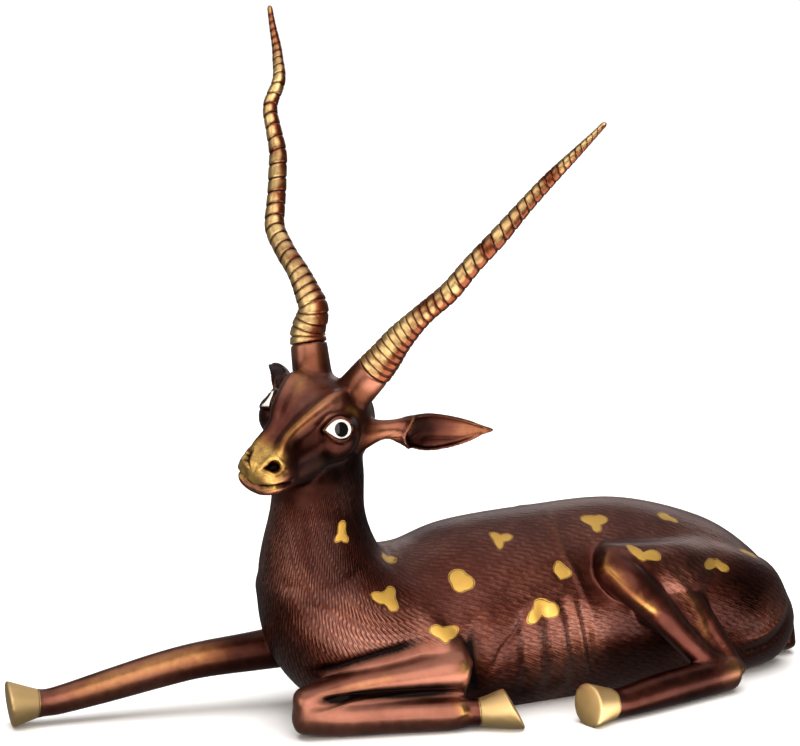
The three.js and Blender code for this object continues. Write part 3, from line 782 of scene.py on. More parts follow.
# %% [markdown]
# The hair runs in lanes along the animal, from the poll down the neck, round the chest and back along the
# flanks. To lay it we need two coordinates on the skin: how far along, and which lane. Both come from the
# path of the trunk: the nearest place on the path, and the angle round it from the ridge of the back. One
# short formula serves twice: here it cuts tufts of about two hairs into the mesh, which is as fine as the
# net allows, and later the material draws the single hairs with it.

# %% Lay of the hair
LANES = 220  # round the whole trunk, so lanes are about 2.6 mm apart on the flank and 1.3 mm on the neck
HAIR_LENGTH = 9
TUFT = 2.1  # the mesh carries tufts this much larger than one hair, the material draws the hairs
HAIR_SLANT = 1.3  # lanes crossed in one hair's length, so the hair falls to the rear
HAIR_DEPTH = 0.4
LANE_SHIFT = 0.618
TOSS = ((12.9898, 78.233, 0.0), (39.425, 26.651, 1.7))  # two waves that toss each hair its own way


def lay_of_hair(points):
    """Along and lane numbers: length along the skin over the hair's length, and the angle from the back times
    the lanes per turn. On the outside of the bend at the chest the skin is longer than the path, so the
    length is mixed from the lines of the back and the breast by the angle."""
    along, across, top = section_axes(trunk_facings, (0, 1, 0))
    back_line = trunk_centres + top * trunk_ovals[:, 1:2]
    breast_line = trunk_centres - top * trunk_ovals[:, 2:3]
    back_run, breast_run = [
        np.concatenate([[0], np.cumsum(np.linalg.norm(np.diff(line, axis=0), axis=1))])
        for line in (back_line, breast_line)
    ]
    near = squares(points, trunk_centres).argmin(axis=1)
    arm = points - trunk_centres[near]
    angle = np.arctan2(np.abs((arm * across[near]).sum(1)), (arm * top[near]).sum(1))
    ahead = (arm * along[near]).sum(1)
    breast = 0.5 - 0.5 * np.cos(angle)
    run = back_run[near] + breast * (breast_run[near] - back_run[near]) + ahead
    x, y, z = points.T
    sway = 0.5 * np.sin(x / 31 + 1.7 * np.sin(z / 27)) + 0.35 * np.sin(y / 13 - z / 19)
    lane = angle * LANES / (2 * np.pi) + HAIR_SLANT * run / HAIR_LENGTH + sway
    return run / HAIR_LENGTH + 0.2 * np.sin(z / 17 + x / 23), lane


def hair_stroke(along, lane):
    """Depth of the cut, 0 to 1: a narrow bell across the lane, and 1 - s^4 along it, which starts anew in
    each hair. Every lane is shifted by the golden share of a hair so that no two ends line up, and two fast
    waves of the lane's and the hair's numbers toss each stroke sideways, aslant, shorter or longer."""
    number = np.floor(lane)
    run = along + LANE_SHIFT * number
    hair = np.floor(run)
    share = run - hair - 0.5
    aside, aslant = [np.sin(p * number + q * hair + r) for p, q, r in TOSS]
    across = lane - number - 0.5 - 0.2 * aside - 0.4 * aslant * share
    return np.exp(-((across / 0.2) ** 2)) * np.clip(1 - (share / (0.46 + 0.06 * aside)) ** 4, 0, 1)


def limb_line(rows):
    """Centres and half sizes along a limb."""
    rows = np.asarray(rows, float)
    return spline_at(rows[:, :4], along_knots(rows, 6))


smooth_limbs = [FORELEG_FOLDED["forearm"], FORELEG_FOLDED["shank"], FORELEG_STRETCHED[1:], TAIL]
smooth_limbs += [to_side(HIND_LEG[part], hand) for part in ("shin", "tendon", "shank") for hand in (-1, 1)]
limb_lines = np.concatenate([limb_line(rows) for rows in smooth_limbs])


def nearness_to_limbs(points):
    """Distance from the nearest limb's centre line, as a share of the limb's half size there."""
    centres, sizes = limb_lines[:, :3], limb_lines[:, 3]
    return np.sqrt(np.maximum((squares(points, centres) / sizes**2).min(axis=1), 0))


def coat_share(points):
    """1 where hair is chased, 0 on the smooth legs, face, ears and stubs."""
    face = to_head(points)
    skull = spline_at([(34, 0, -6), (-20, 0, -14), (-90, 0, -18)], along_knots([0, 1, 2], 10))
    off_head = smooth_step(distance_to(face, skull), 49, 60)
    off_head *= 1 - smooth_step(face[:, 2], -20, -10) * smooth_step(points[:, 2], 270, 290)
    off_spots = 1 - smooth_step(polished_distance(points), -2.5, -0.5)
    return off_head * off_spots * smooth_step(nearness_to_limbs(points), 1.25, 1.6)


def boldness(points):
    """Share of the full depth of a cut: the graver went deeper on the chest than on the flank."""
    return 0.6 + 0.4 * smooth_step(-points[:, 0], 120, 180)


along, lane = lay_of_hair(points)
coat = coat_share(points)
normals = point_normals(points, faces)
cut = HAIR_DEPTH * coat * boldness(points) * hair_stroke(along / TUFT, lane / TUFT)
cut += LINE_DEPTH * np.exp(-(((polished - LINE_INSET) / 1.0) ** 2))
points -= cut[:, None] * normals
points[:, 2] = np.maximum(points[:, 2], 0)
print("hair on", round(100 * float((coat > 0.5).mean())), "% of the skin")

# %% [markdown]
# The even net spends as many squares on a smooth shank as on the eyelids. Decimate collapses the edges that
# matter least first, so the detail stays where the carving is and the piece comes out light.

# %% Thin the net
MOST_TRIANGLES = 194000
dense = put_mesh("dense", points, faces)
kept_share = MOST_TRIANGLES / (2 * len(faces))
animal_mesh = after_modifier(dense, "DECIMATE", ratio=kept_share, use_collapse_triangulate=True)
animal_mesh.name = "animal_casting"
animal_mesh.shade_smooth()
points = read_points(animal_mesh)
edges = read_indices(animal_mesh.edges, "vertices", 2)
print("animal:", len(points), "points,", len(animal_mesh.polygons), "triangles")

# %% [markdown]
# Hands and cloths rub the high edges bright, and the dark patina stays in the low places. Both can be read
# off the shape: the mean of a point's neighbours lies inside the skin on an edge and outside it in a
# hollow. A few edges that are rubbed more than the rest are named as strokes. Some strokes are painted light
# and shade: a highlight on the stifle and the brow ridge, shade in the creases and the slot of the folded
# foreleg, along the lower flank where it turns under, under the brow, on the jaw and in the cup of the ear.

# %% Worn edges, dark hollows, painted highlights and painted shade
# Each stroke: knots, width, strength, and whether it is on both flanks
WORN_AND_HIGHLIGHT_STROKES = [
    # the stifle's edge: rubbed brass with a painted highlight drawn along it
    ([(62, 80, 150), (47, 92, 140), (55, 104, 127), (72, 113, 107), (87, 118, 94)], 3.2, 1.6, True),
    ([(-118, 104, 66), (-108, 106, 60)], 6, 0.9, False),
    ([(128, 98, 104), (139, 102, 96), (146, 107, 76), (150, 113, 58)], 5, 0.4, True),
    ([(172, 126, 30), (184, 128, 20)], 10, 0.5, True),
    ([(-180, 90, 60), (-215, 80, 52), (-245, 64, 42)], 5, 0.35, False),
    ([(-300, -54, 62), (-360, -66, 54), (-440, -84, 32)], 11, 0.45, False),
    ([(-120, 100, 28), (-119, 107, 22), (-117, 109, 17)], 5, 0.9, False),
    ([(267, 79, 72), (259, 83, 62), (246, 88, 51), (230, 91, 44)], 3.5, 0.3, True),
    ([(35, 4, 180), (18, 44, 168), (15, 63, 152), (22, 80, 126)], 3, 0.12, True),
    ([(299, 45, 3), (309, 38, 6), (316, 28, 18)], 5, 0.5, False),
    ([(313, 11, 55), (318, 20, 38)], 6, 0.3, False),
]
WORN_AND_HIGHLIGHT_FACE = [
    # the brow ridge: rubbed brass with a broad painted highlight along it
    (BROW_RIDGE[1:6], 5.5, 0.45, False),
    ([(-20, 35, 28), (-6.7, 36, 27), (0.6, 38.5, 23.5), (5.9, 41.5, 16.6)], 3.5, 0.7, True),
    ([(-22, -12, 34), (-8, -20, 38), (4, -24, 42)], 8, 0.5, False),
    ([(22, 25, 33), (29, 36, 53)], 18, 0.32, True),
    ([(22, 40, -5), (46, 62, -6)], 13, 0.25, True),
    ([(88, 100, -8), (112, 122, -8)], 13, 0.2, True),
    (LOWER_LIP, 4.5, 0.2, True),
]
# Dark patina in the grooves behind the elbow, over the folded foreleg, in its slot and at the haunch's rim,
# deepened as painted shade
DARK_AND_SHADE_STROKES = [
    ([(-100, 87, 86), (-97, 86, 72), (-93, 83, 50), (-84, 76, 24)], 9, 1.3, True),
    ([(-245, 38, 60), (-232, 53, 66), (-212, 67, 73), (-190, 74, 79), (-171, 78, 83), (-150, 82, 88)],
     6, 1.3, False),
    ([(-250, 66, 40), (-228, 74, 40), (-200, 81, 40), (-156, 89, 39), (-118, 97, 38)], 6, 1.6, False),
    ([(-240, 74, 43), (-215, 82, 45), (-180, 91, 46), (-145, 99, 46), (-122, 104, 45)], 5, 1.2, False),
    ([(266, 81, 50), (250, 84, 36), (232, 86, 29), (209, 87, 26)], 6, 0.7, True),
    # painted shade along the lower flank, where it turns under towards the ground
    ([(30, 84, 20), (-40, 76, 12), (-110, 76, 10)], 16, 0.7, True),
]
MOUTH_BOTTOM = np.array(LIP_LINE) * [0.965, 0.87, 0.97]  # the mouth's cut lies this much further in
# The mouth's cut keeps dark patina; under the brow, along the jaw and in the cup of the ear the dark is
# painted shade
DARK_AND_SHADE_FACE = [
    (MOUTH_BOTTOM, 2.6, 1.6, True),
    (UNDER_BROW, 7, 0.4, True),
    (JAW_EDGE, 16, 0.5, True),
    ([(57, 65, -8), (68, 75, -9), (80, 85, -9)], 11, 0.85, True),
]


def bend_of(points, edges, normals, rounds=3):
    """How sharply the skin bends, outwards positive: minus the normal part of (mean of neighbours - point),
    over the square of the mean edge length, spread over a few neighbours."""
    arm = neighbour_mean(points, edges) - points
    length = np.linalg.norm(points[edges[:, 0]] - points[edges[:, 1]], axis=1)
    ends = edges.ravel()
    size = np.bincount(ends, np.repeat(length, 2)) / np.bincount(ends)
    bend = -(arm * normals).sum(1) / size**2
    for _ in range(rounds):
        bend = 0.4 * bend + 0.6 * neighbour_mean(bend, edges)
    return bend


final_normals = np.empty(3 * len(points), np.float32)
animal_mesh.vertices.foreach_get("normal", final_normals)
final_normals = final_normals.reshape(-1, 3).astype(float)
bend = bend_of(points, edges, final_normals)
face_at = to_head(points)
face_side = mirrored(face_at)
body_side = mirrored(points)
worn_and_highlit = smooth_step(bend, 0.05, 0.16) * (1 - 0.85 * coat_share(points)) * 0.45
dark = smooth_step(-bend, 0.03, 0.14) * 0.5
left_side, left_face = points * [1, -1, 1], face_at * [1, -1, 1]
for strokes, both_sides, one_side, target in (
    (WORN_AND_HIGHLIGHT_STROKES, body_side, left_side, worn_and_highlit), (WORN_AND_HIGHLIGHT_FACE, face_side, left_face, worn_and_highlit),
    (DARK_AND_SHADE_STROKES, body_side, left_side, dark), (DARK_AND_SHADE_FACE, face_side, left_face, dark),
):
    for knots, width, strength, both in strokes:
        np.maximum(target, strength * bell(both_sides if both else one_side, knots, width), out=target)
muzzle = smooth_step(-face_side[:, 0] - 0.35 * np.clip(-face_at[:, 2] - 4, 0, 60), 69, 84)
muzzle *= (np.abs(face_at[:, 1]) < 40) & (face_at[:, 2] > -60)
muzzle *= 1 - 0.85 * smooth_step(-face_at[:, 2], 29, 33)
muzzle *= 1 - 0.6 * smooth_step(np.abs(face_at[:, 1]), 18, 26)
worn_and_highlit = np.maximum(worn_and_highlit, muzzle)
dark = np.maximum(dark, smooth_step(nostril_inside(face_side, 14), 0.2, 1.8))
eye_u, eye_v, eye_w = eye_frame(face_at).T
opening = almond(eye_u, eye_v)
at_eye = (eye_w > -14) & (np.abs(eye_u) < 26)
lid_line = np.exp(-(((opening + 4.6) / 1.1) ** 2)) + np.exp(-((opening / 1.3) ** 2))
dark = np.maximum(dark, np.where(at_eye, lid_line, 0))
worn_and_highlit = worn_and_highlit * (1 - 0.7 * np.where(at_eye, np.exp(-((opening / 4) ** 2)), 0))
hoof = smooth_step(hoof_distance(points), -0.5, 0.5)
stipple = muzzle * smooth_step(face_at[:, 2], -26, -18) * (1 - smooth_step(np.abs(face_at[:, 1]), 16, 22))
print("worn:", round(float(worn_and_highlit.mean()), 3), "dark:", round(float(dark.mean()), 3))

# %% [markdown]
# Patina goes on with a brush over a flame, so one part comes out nearly black and the next a light copper.
# Noise alone can't put a dark cheek under a light brow, so the broad tones are dabs: each has a place, a
# reach and a tone, and a point of the skin takes the mean of the dabs round it. The dabs also paint light and
# shade into the tone: painted light where a face turns to the window, painted shade where it turns away or
# lies under another part. The material adds the small clouds.

# %% Dabs of patina tone, painted light and painted shade
# Each dab: place, reach, and tone from 0, black, to 1, light copper. A dab with y below zero is on the right
# side only, the others are on both sides
# Many dabs are painted light and shade: light on the chest, forearm, knee and shank that face the window, and
# a painted sheen on the top of the rump; shade on the neck, the rump and the far foreleg under the chest,
# and, among the head's dabs, on the cheek, the jaw and in the cup of the ear.
BODY_TONE_AND_LIGHT_DABS = [
    ((-227, 68, 110), 26, 0.6), ((-198, 75, 100), 26, 0.72), ((-247, 56, 131), 18, 0.34),
    ((-255, 39, 82), 26, 0.5), ((-204, 43, 220), 26, 0.06), ((-199, 44, 195), 26, 0.1),
    ((-199, 56, 166), 24, 0.3), ((-249, 38, 196), 20, 0.32), ((-259, 48, 143), 14, 0.64),
    ((-274, 20, 118), 18, 0.3), ((-222, 62, 158), 16, 0.16), ((-238, 52, 164), 12, 0.3),
    ((-263, 20, 189), 18, 0.62), ((-272, 17, 146), 22, 0.58), ((-163, 79, 99), 18, 0.65),
    ((-262, 62, 38), 22, 0.95), ((-205, 84, 56), 18, 0.9), ((-165, 94, 60), 18, 0.9),
    ((-130, 103, 62), 18, 0.9), ((-225, 78, 22), 18, 0.9), ((-180, 94, 20), 20, 0.88),
    ((-140, 105, 20), 18, 0.8), ((-128, 60, 139), 24, 0.4), ((10, 83, 62), 26, 0.68),
    ((-30, 86, 66), 20, 0.6), ((-56, 86, 64), 16, 0.36), ((-1, 78, 29), 18, 0.85), ((95, 82, 54), 26, 0.2),
    ((86, 115, 115), 14, 0.4), ((109, 121, 68), 16, 0.34), ((145, 112, 60), 18, 0.55),
    ((42, 88, 129), 18, 0.34), ((115, 99, 130), 16, 0.6), ((180, 63, 139), 24, 0.7),
    ((203, 94, 79), 30, 0.12), ((246, 88, 70), 16, 0.72), ((240, 86, 30), 20, 0.45),
    ((275, 70, 50), 18, 0.35), ((80, 140, 18), 34, 0.24), ((130, 134, 18), 24, 0.24),
    ((168, 128, 20), 14, 0.7), ((-391, -78, 48), 46, 0.72), ((-317, -57, 58), 26, 0.5),
    ((-276, -48, 60), 24, 0.0), ((-262, -44, 64), 26, 0.0), ((-250, -46, 60), 24, 0.0),
]
HEAD_TONE_AND_LIGHT_DABS = [
    ((-50, 26, -4), 18, 0.08), ((-20, 39, -24), 22, 0.07), ((-46, 26, -34), 20, 0.04),
    ((0, 38, -34), 28, 0.06), ((-21, 3, 33), 20, 0.68), ((-48, 4, 19), 16, 0.45),
    ((-21, 25, 32), 11, 0.95), ((8, 38, 29), 12, 0.1), ((16, 41, 56), 14, 0.95), ((13, 20, 50), 12, 0.36),
    ((37, 60, -3), 14, 0.82), ((64, 78, -9), 16, 0.0), ((82, 94, -9), 14, 0.3), ((102, 113, -8), 16, 0.5),
    ((-92, 8, -38), 12, 0.6),
]
EVEN_TONE, EVEN_SHARE = 0.5, 0.12


def patina_tone_and_painted_light(points):
    """Tone of the patina with painted light and shade: the mean of the dabs' tones and an even ground, each
    dab weighing exp(-(distance / reach)^2)."""
    weight = np.full(len(points), EVEN_SHARE)
    total = EVEN_TONE * weight
    for places, dabs in ((points, BODY_TONE_AND_LIGHT_DABS), (to_head(points), HEAD_TONE_AND_LIGHT_DABS)):
        both_sides, one_side = mirrored(places), places * [1, -1, 1]
        for at, reach, tone in dabs:
            arm = (one_side if at[1] < 0 else both_sides) - np.array(at)
            share = np.exp(-((arm**2).sum(1) / reach**2))
            weight += share
            total += share * tone
    return total / weight


tones_and_painted_light = patina_tone_and_painted_light(points)
print("patina tones from", tones_and_painted_light.min().round(2), "to", tones_and_painted_light.max().round(2))

# %% [markdown]
# The material can't work these things out itself, so they are stored at the points of the mesh as
# attributes, which a shader reads by name. An image would need the skin cut open and laid flat, while an
# attribute needs no map. Each holds three numbers, and the shader takes them apart again.

# %% Store the finish, the painted light and the painted shade on the skin
along, lane = lay_of_hair(points)
coat = coat_share(points)
polished = polished_distance(points)


def store(mesh, name, columns):
    """Three numbers per point as one vector attribute."""
    values = np.stack(columns, axis=1).astype(np.float32)
    mesh.attributes.new(name, "FLOAT_VECTOR", "POINT").data.foreach_set("vector", values.ravel())


store(animal_mesh, "hair", [along, lane, coat * boldness(points)])
# The rubbed and dark numbers carry painted highlights and painted shade as well as wear and patina, and the
# tones carry painted light and shade.
store(animal_mesh, "finish_and_painted_light", [polished, np.clip(worn_and_highlit, 0, 1), np.clip(dark, 0, 1)])
store(animal_mesh, "brush_and_painted_light", [tones_and_painted_light, stipple, hoof])
print("attributes:", [a.name for a in animal_mesh.attributes])

# %% [markdown]
# Every material below starts from what the real surface is. Colours are written as they look on a screen,
# as sRGB hex, and one function turns them to the linear numbers that Blender mixes. One more function adds
# a node with its settings and links. A patina takes dozens of sums, so these are written as a table of
# steps, each with the name of its result, and the table is followed from top to bottom.


# %% Colours and nodes
def colour(hex_code):
    """sRGB hex to linear: c / 12.92 below 0.04045, else ((c + 0.055) / 1.055) ^ 2.4."""
    c = np.array([int(hex_code[k : k + 2], 16) for k in (1, 3, 5)]) / 255
    linear = np.where(c <= 0.04045, c / 12.92, ((c + 0.055) / 1.055) ** 2.4)
    return (*linear.tolist(), 1.0)


def add(tree, kind, inputs=None, **settings):
    """One node with its settings. An input is a value, or the output of another node that feeds it."""
    made = tree.nodes.new(kind)
    for name, value in settings.items():
        setattr(made, name, value)
    for key, value in (inputs or {}).items():
        if isinstance(value, bpy.types.NodeSocket):
            tree.links.new(value, made.inputs[key])
        else:
            made.inputs[key].default_value = value
    return made


def new_material(name):
    """An empty node material."""
    material = bpy.data.materials.new(name)
    material.use_nodes = True
    material.node_tree.nodes.clear()
    return material, material.node_tree


# What a step does: the node, its settings, where its feeds go and where its result comes out
STEP_NODES = {
    "mix": ("ShaderNodeMix", {"data_type": "RGBA"}, (0, 6, 7), 2),
    "range": ("ShaderNodeMapRange", {}, (0, 1, 2, 3, 4), 0),
}


def follow(tree, made, steps):
    """Adds a table of nodes. A step is its result's name, what it does, and what feeds it, where a word
    stands for an earlier result. What isn't in STEP_NODES is an operation of a Math node."""
    for result, does, *feeds in steps:
        math = ("ShaderNodeMath", {"operation": does}, (0, 1), 0)
        kind, settings, places, output = STEP_NODES.get(does, math)
        fed = {place: made.get(feed, feed) for place, feed in zip(places, feeds)}
        made[result] = add(tree, kind, fed, **settings).outputs[output]


print("a dark patina in linear numbers:", [round(c, 3) for c in colour("#3a1c14")])

# %% [markdown]
# Patinated brass: the casting was brushed with chemicals over a flame until it turned red brown, darker in
# one place and lighter in the next, then sealed with a satin lacquer. Part of that darker and lighter is
# painted shade and painted light. It is still metal, so it mirrors its surroundings in brown, and the lacquer
# adds a soft white gloss, less in the hollows and where shade is painted, and on the dark tones. The chased
# hair keeps black in its cuts, and the ridges are worn through orange to gold, some with a painted highlight.
# Spots and hooves were scraped back to bright yellow brass, with a dark engraved line round each.

# %% Patinated brass
PATINA_TONES = ("#120605", "#5e2717", "#b8745a")  # black, red brown and light copper
PATINA_RED = colour("#7c351f")
PATINA_BLACK = colour("#0d0504")
WORN_ORANGE = colour("#c4793a")
WORN_GOLD = colour("#ecc268")
BRIGHT_BRASS = colour("#e6ba5a")
HOOF_BRASS = colour("#e8c88c")
CLOUD_SIZE = 70  # mm, the clouds of red and dark in the patina
MOTTLE_SIZE = 9  # mm, the small flecks
STIPPLE_SIZE = 1.7  # mm between the punched dots on the nose
STROKE_WIDTH = 0.19  # of a lane, narrower than in the mesh: the graver's sharp bottom

patina, tree = new_material("patinated_lacquered_brass")
place = add(tree, "ShaderNodeTexCoord").outputs["Object"]
clouds = add(tree, "ShaderNodeTexNoise", {"Vector": place, "Scale": 1000 / CLOUD_SIZE, "Detail": 3.0})
mottle = add(tree, "ShaderNodeTexNoise", {"Vector": place, "Scale": 1000 / MOTTLE_SIZE, "Detail": 4.0})
dots = add(tree, "ShaderNodeTexVoronoi", {"Vector": place, "Scale": 1000 / STIPPLE_SIZE})
made = {"cloud": clouds.outputs[0], "mottle": mottle.outputs[0], "to dot": dots.outputs["Distance"]}
for attribute, names in (
    ("hair", ("along", "lane", "coat")),
    ("finish_and_painted_light", ("gilt", "rubbed_and_highlit", "sunk_and_shaded")),
    ("brush_and_painted_light", ("tone", "pad", "hoof")),
):
    stored = add(tree, "ShaderNodeAttribute", attribute_name=attribute).outputs["Vector"]
    made.update(zip(names, add(tree, "ShaderNodeSeparateXYZ", {0: stored}).outputs))
print("patinated brass reads", sorted(made))

# %% [markdown]
# The single hairs repeat, node by node, the formula that cut the tufts: the numbers of the lane and the
# hair, two waves that toss each hair, a bell across the lane and a flat-topped hump, 1 - s^4, along it.

# %% Hairs of the patinated brass
follow(tree, made, [
    ("lane number", "FLOOR", "lane"),
    ("lane shift", "MULTIPLY", "lane number", LANE_SHIFT),
    ("run", "ADD", "lane shift", "along"),
    ("hair number", "FLOOR", "run"),
    ("hair share", "SUBTRACT", "run", "hair number"),
    ("hair share", "SUBTRACT", "hair share", 0.5),
])
for toss, (by_lane, by_hair, start) in zip(("aside", "aslant"), TOSS):
    follow(tree, made, [
        ("hair wave", "MULTIPLY", "hair number", by_hair),
        ("hair wave", "ADD", "hair wave", start),
        ("lane wave", "MULTIPLY", "lane number", by_lane),
        ("wave", "ADD", "lane wave", "hair wave"),
        (toss, "SINE", "wave"),
    ])
follow(tree, made, [
    ("sideways", "MULTIPLY", "aside", 0.2),
    ("middle", "MULTIPLY", "aslant", "hair share"),
    ("middle", "MULTIPLY", "middle", 0.4),
    ("middle", "ADD", "middle", "sideways"),
    ("middle", "ADD", "middle", 0.5),
    ("lane off", "SUBTRACT", "lane", "lane number"),
    ("lane off", "SUBTRACT", "lane off", "middle"),
    ("lane off", "DIVIDE", "lane off", STROKE_WIDTH),
    ("lane bell", "MULTIPLY", "lane off", "lane off"),
    ("lane bell", "MULTIPLY", "lane bell", -1.0),
    ("lane bell", "EXPONENT", "lane bell"),
    ("half hair", "MULTIPLY", "aside", 0.06),
    ("half hair", "ADD", "half hair", 0.46),
    ("run off", "DIVIDE", "hair share", "half hair"),
    ("run fade", "MULTIPLY", "run off", "run off"),
    ("run fade", "POWER", "run fade", 2.0),
    ("run fade", "SUBTRACT", 1.0, "run fade"),
    ("run fade", "MAXIMUM", "run fade", 0.0),
    ("strokes", "MULTIPLY", "lane bell", "run fade"),
    ("strokes", "MULTIPLY", "strokes", "coat"),
    ("hair tone", "MULTIPLY", "aslant", "coat"),
    ("hair tone", "MULTIPLY", "hair tone", "coat"),
    ("hair tone", "MULTIPLY", "hair tone", 0.17),
])
print("hairs:", len(tree.nodes), "nodes so far")

# %% [markdown]
# The colour is laid on in the maker's order: the tone with its clouds, which also holds painted light and
# shade, black in the cuts and hollows and where shade is painted, gold where it is rubbed or a highlight is
# painted, bright brass in the spots, the engraved line, and the punched dots of the nose. The edge of a spot
# is blended over about a millimetre, with a little mottle, as a scraper leaves it.

# %% Colours of the patinated brass
follow(tree, made, [
    ("clouds", "range", "cloud", 0.35, 0.65),
    ("clouds", "SUBTRACT", "clouds", 0.5),
    ("clouds", "MULTIPLY", "clouds", 0.16),
    ("tone", "ADD", "clouds", "tone"),
    ("tone", "ADD", "tone", "hair tone"),
    ("mottle share", "range", "mottle", 0.3, 0.7),
    ("flecks", "SUBTRACT", "mottle share", 0.5),
    ("flecks", "MULTIPLY", "flecks", 0.1),
    ("tone", "ADD", "flecks", "tone"),
])
ramp = add(tree, "ShaderNodeValToRGB", {0: made["tone"]})
ramp.color_ramp.elements.new(0.5)
for stop, code in zip(ramp.color_ramp.elements, PATINA_TONES):
    stop.color = colour(code)
made["skin"] = ramp.outputs[0]
follow(tree, made, [
    ("cuts", "MULTIPLY", "strokes", 0.85),
    ("skin", "mix", "cuts", "skin", PATINA_BLACK),
    ("skin", "mix", "sunk_and_shaded", "skin", PATINA_BLACK),
    ("rub", "MULTIPLY", "mottle share", 0.5),
    ("rub", "ADD", "rub", 0.65),
    ("rub", "MULTIPLY", "rub", "rubbed_and_highlit"),
    ("rub", "MINIMUM", "rub", 1.0),
    ("worn brass", "mix", "rub", WORN_ORANGE, WORN_GOLD),
    ("raised", "SUBTRACT", 1.0, "sunk_and_shaded"),
    ("rub", "MULTIPLY", "rub", "raised"),
    ("skin", "mix", "rub", "skin", "worn brass"),
    ("gilt edge", "SUBTRACT", "mottle", 0.5),
    ("gilt edge", "MULTIPLY", "gilt edge", 2.0),
    ("gilt edge", "ADD", "gilt edge", "gilt"),
    ("scraped", "range", "gilt edge", -0.6, 0.5),
    ("brass", "mix", "hoof", BRIGHT_BRASS, HOOF_BRASS),
    ("skin", "mix", "scraped", "skin", "brass"),
    ("line", "SUBTRACT", "gilt", LINE_INSET),
    ("line", "DIVIDE", "line", LINE_WIDTH),
    ("line", "MULTIPLY", "line", "line"),
    ("line", "MULTIPLY", "line", -1.0),
    ("line", "EXPONENT", "line"),
    ("line tone", "MULTIPLY", "line", 0.75),
    ("skin", "mix", "line tone", "skin", PATINA_BLACK),
    ("dots", "range", "to dot", 0.32, 0.18),
    ("dots", "MULTIPLY", "dots", "pad"),
    ("dot tone", "MULTIPLY", "dots", 0.6),
    ("skin", "mix", "dot tone", "skin", PATINA_RED),
])
print("colours:", len(tree.nodes), "nodes so far")

# %% [markdown]
# Last come the cuts as a bump of half a millimetre, a roughness that follows the mottle and is duller on
# scraped brass, and the lacquer, which is thin on dark tones and nearly gone in the hollows and where shade
# is painted.

# %% Relief and gloss of the patinated brass
follow(tree, made, [
    ("relief", "MULTIPLY", "strokes", -1.0),
    ("relief", "SUBTRACT", "relief", "dots"),
    ("relief", "SUBTRACT", "relief", "line"),
    ("grain", "MULTIPLY", "mottle", 0.25),
    ("relief", "ADD", "grain", "relief"),
    ("gloss", "range", "mottle", 0.3, 0.7, 0.32, 0.44),
    ("scrapes", "MULTIPLY", "scraped", 0.18),
    ("gloss", "ADD", "scrapes", "gloss"),
    ("lacquer", "range", "tone", 0.1, 0.85, 0.08, 0.9),
    ("open", "MULTIPLY", "sunk_and_shaded", -0.9),
    ("open", "ADD", "open", 1.0),
    ("lacquer", "MULTIPLY", "open", "lacquer"),
])
bump = add(tree, "ShaderNodeBump", {"Strength": 0.6, "Distance": 0.5 * METRE, "Height": made["relief"]})
shader = add(tree, "ShaderNodeBsdfPrincipled", {
    "Base Color": made["skin"], "Metallic": 1.0, "Roughness": made["gloss"], "Normal": bump.outputs[0],
    "Coat Weight": made["lacquer"], "Coat Roughness": 0.3,
})
add(tree, "ShaderNodeOutputMaterial", {0: shader.outputs[0]})
print("patinated brass:", len(tree.nodes), "nodes")

# %% [markdown]
# The casting is one piece of the object. It rides on the statue's only body, stands for the imported solid of
# the animal, which is hidden, and wears the patinated brass. Its place is in its mesh, so the object stays
# at the origin.

# %% The animal
RIDES_ON = "root"


def piece(mesh, name, material, node):
    """A finished piece: on the statue's body, standing for its solid, with its material."""
    mesh.materials.clear()
    mesh.materials.append(material)
    made = bpy.data.objects.new(name, mesh)
    bpy.context.scene.collection.objects.link(made)
    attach(made, RIDES_ON)
    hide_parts(node)
    return made


animal = piece(animal_mesh, "animal_casting", patina, "animal")
print(animal.name, "in place")

# %% [markdown]
# The horns were cast apart. Each is a stack of rings on a path that swings about a straight line: the left
# one nearly straight, the right one in a slow wave. Each ring narrows a little towards a sharp groove, and
# tilts, as on the living animal. The grooves, the feet of the rings and a side painted darker as shade, with
# a few stained stretches, are kept as numbers for the brass.

# %% Horns
HORN_LENGTH = 318
HORN_RINGS = 36
HORN_SETTLES = 0.12  # share of a horn over which it leaves its seat straight
HORN_SEAT_GAP = 0.4
GROOVE = 0.1  # depth of a groove as a share of the radius
GROOVE_REACH, FOOT_REACH = 0.09, 0.22  # half width of a groove and of the red beside it, in rings
RING_TAPER = 0.35  # how much a ring narrows towards its groove, as a share of the groove's depth
CROWDING = 0.3  # how much closer the rings stand at both ends than in the middle
RING_ROWS = 12
HORN_SIDES = 64
HORN_TIP = 4
SWING_OUT = {-1: [0, -2.6, -1.6, 3.6, 3.8, 4.1, 1.8, 1.7, 4.7, 6.3],
             1: [0, -13.6, -9.8, -1.8, 12.3, 22.9, 20.7, 14, 6.6, 5, 4.9, -6.1, -4.3, -3.1, -4]}
PAINTED_SHADE_SIDE = unit([0.76, -0.48, -0.44])  # painted shade: the side of both horns that faces down and to the rear, away from the window
# Stained stretches: share of the horn's length, reach and strength
STAINS = {-1: [(0.24, 0.1, 0.3), (0.51, 0.03, 0.8), (0.8, 0.05, 0.75)],
          1: [(0.2, 0.07, 0.35), (0.58, 0.03, 0.6), (0.95, 0.12, 0.6)]}
SWING_FORE = {-1: [0, 1, 2, 0, -3, -2, 2, 3, 0, 0], 1: [0, -5, -6, 2, 7, 0, -7, -4, 4, 0]}


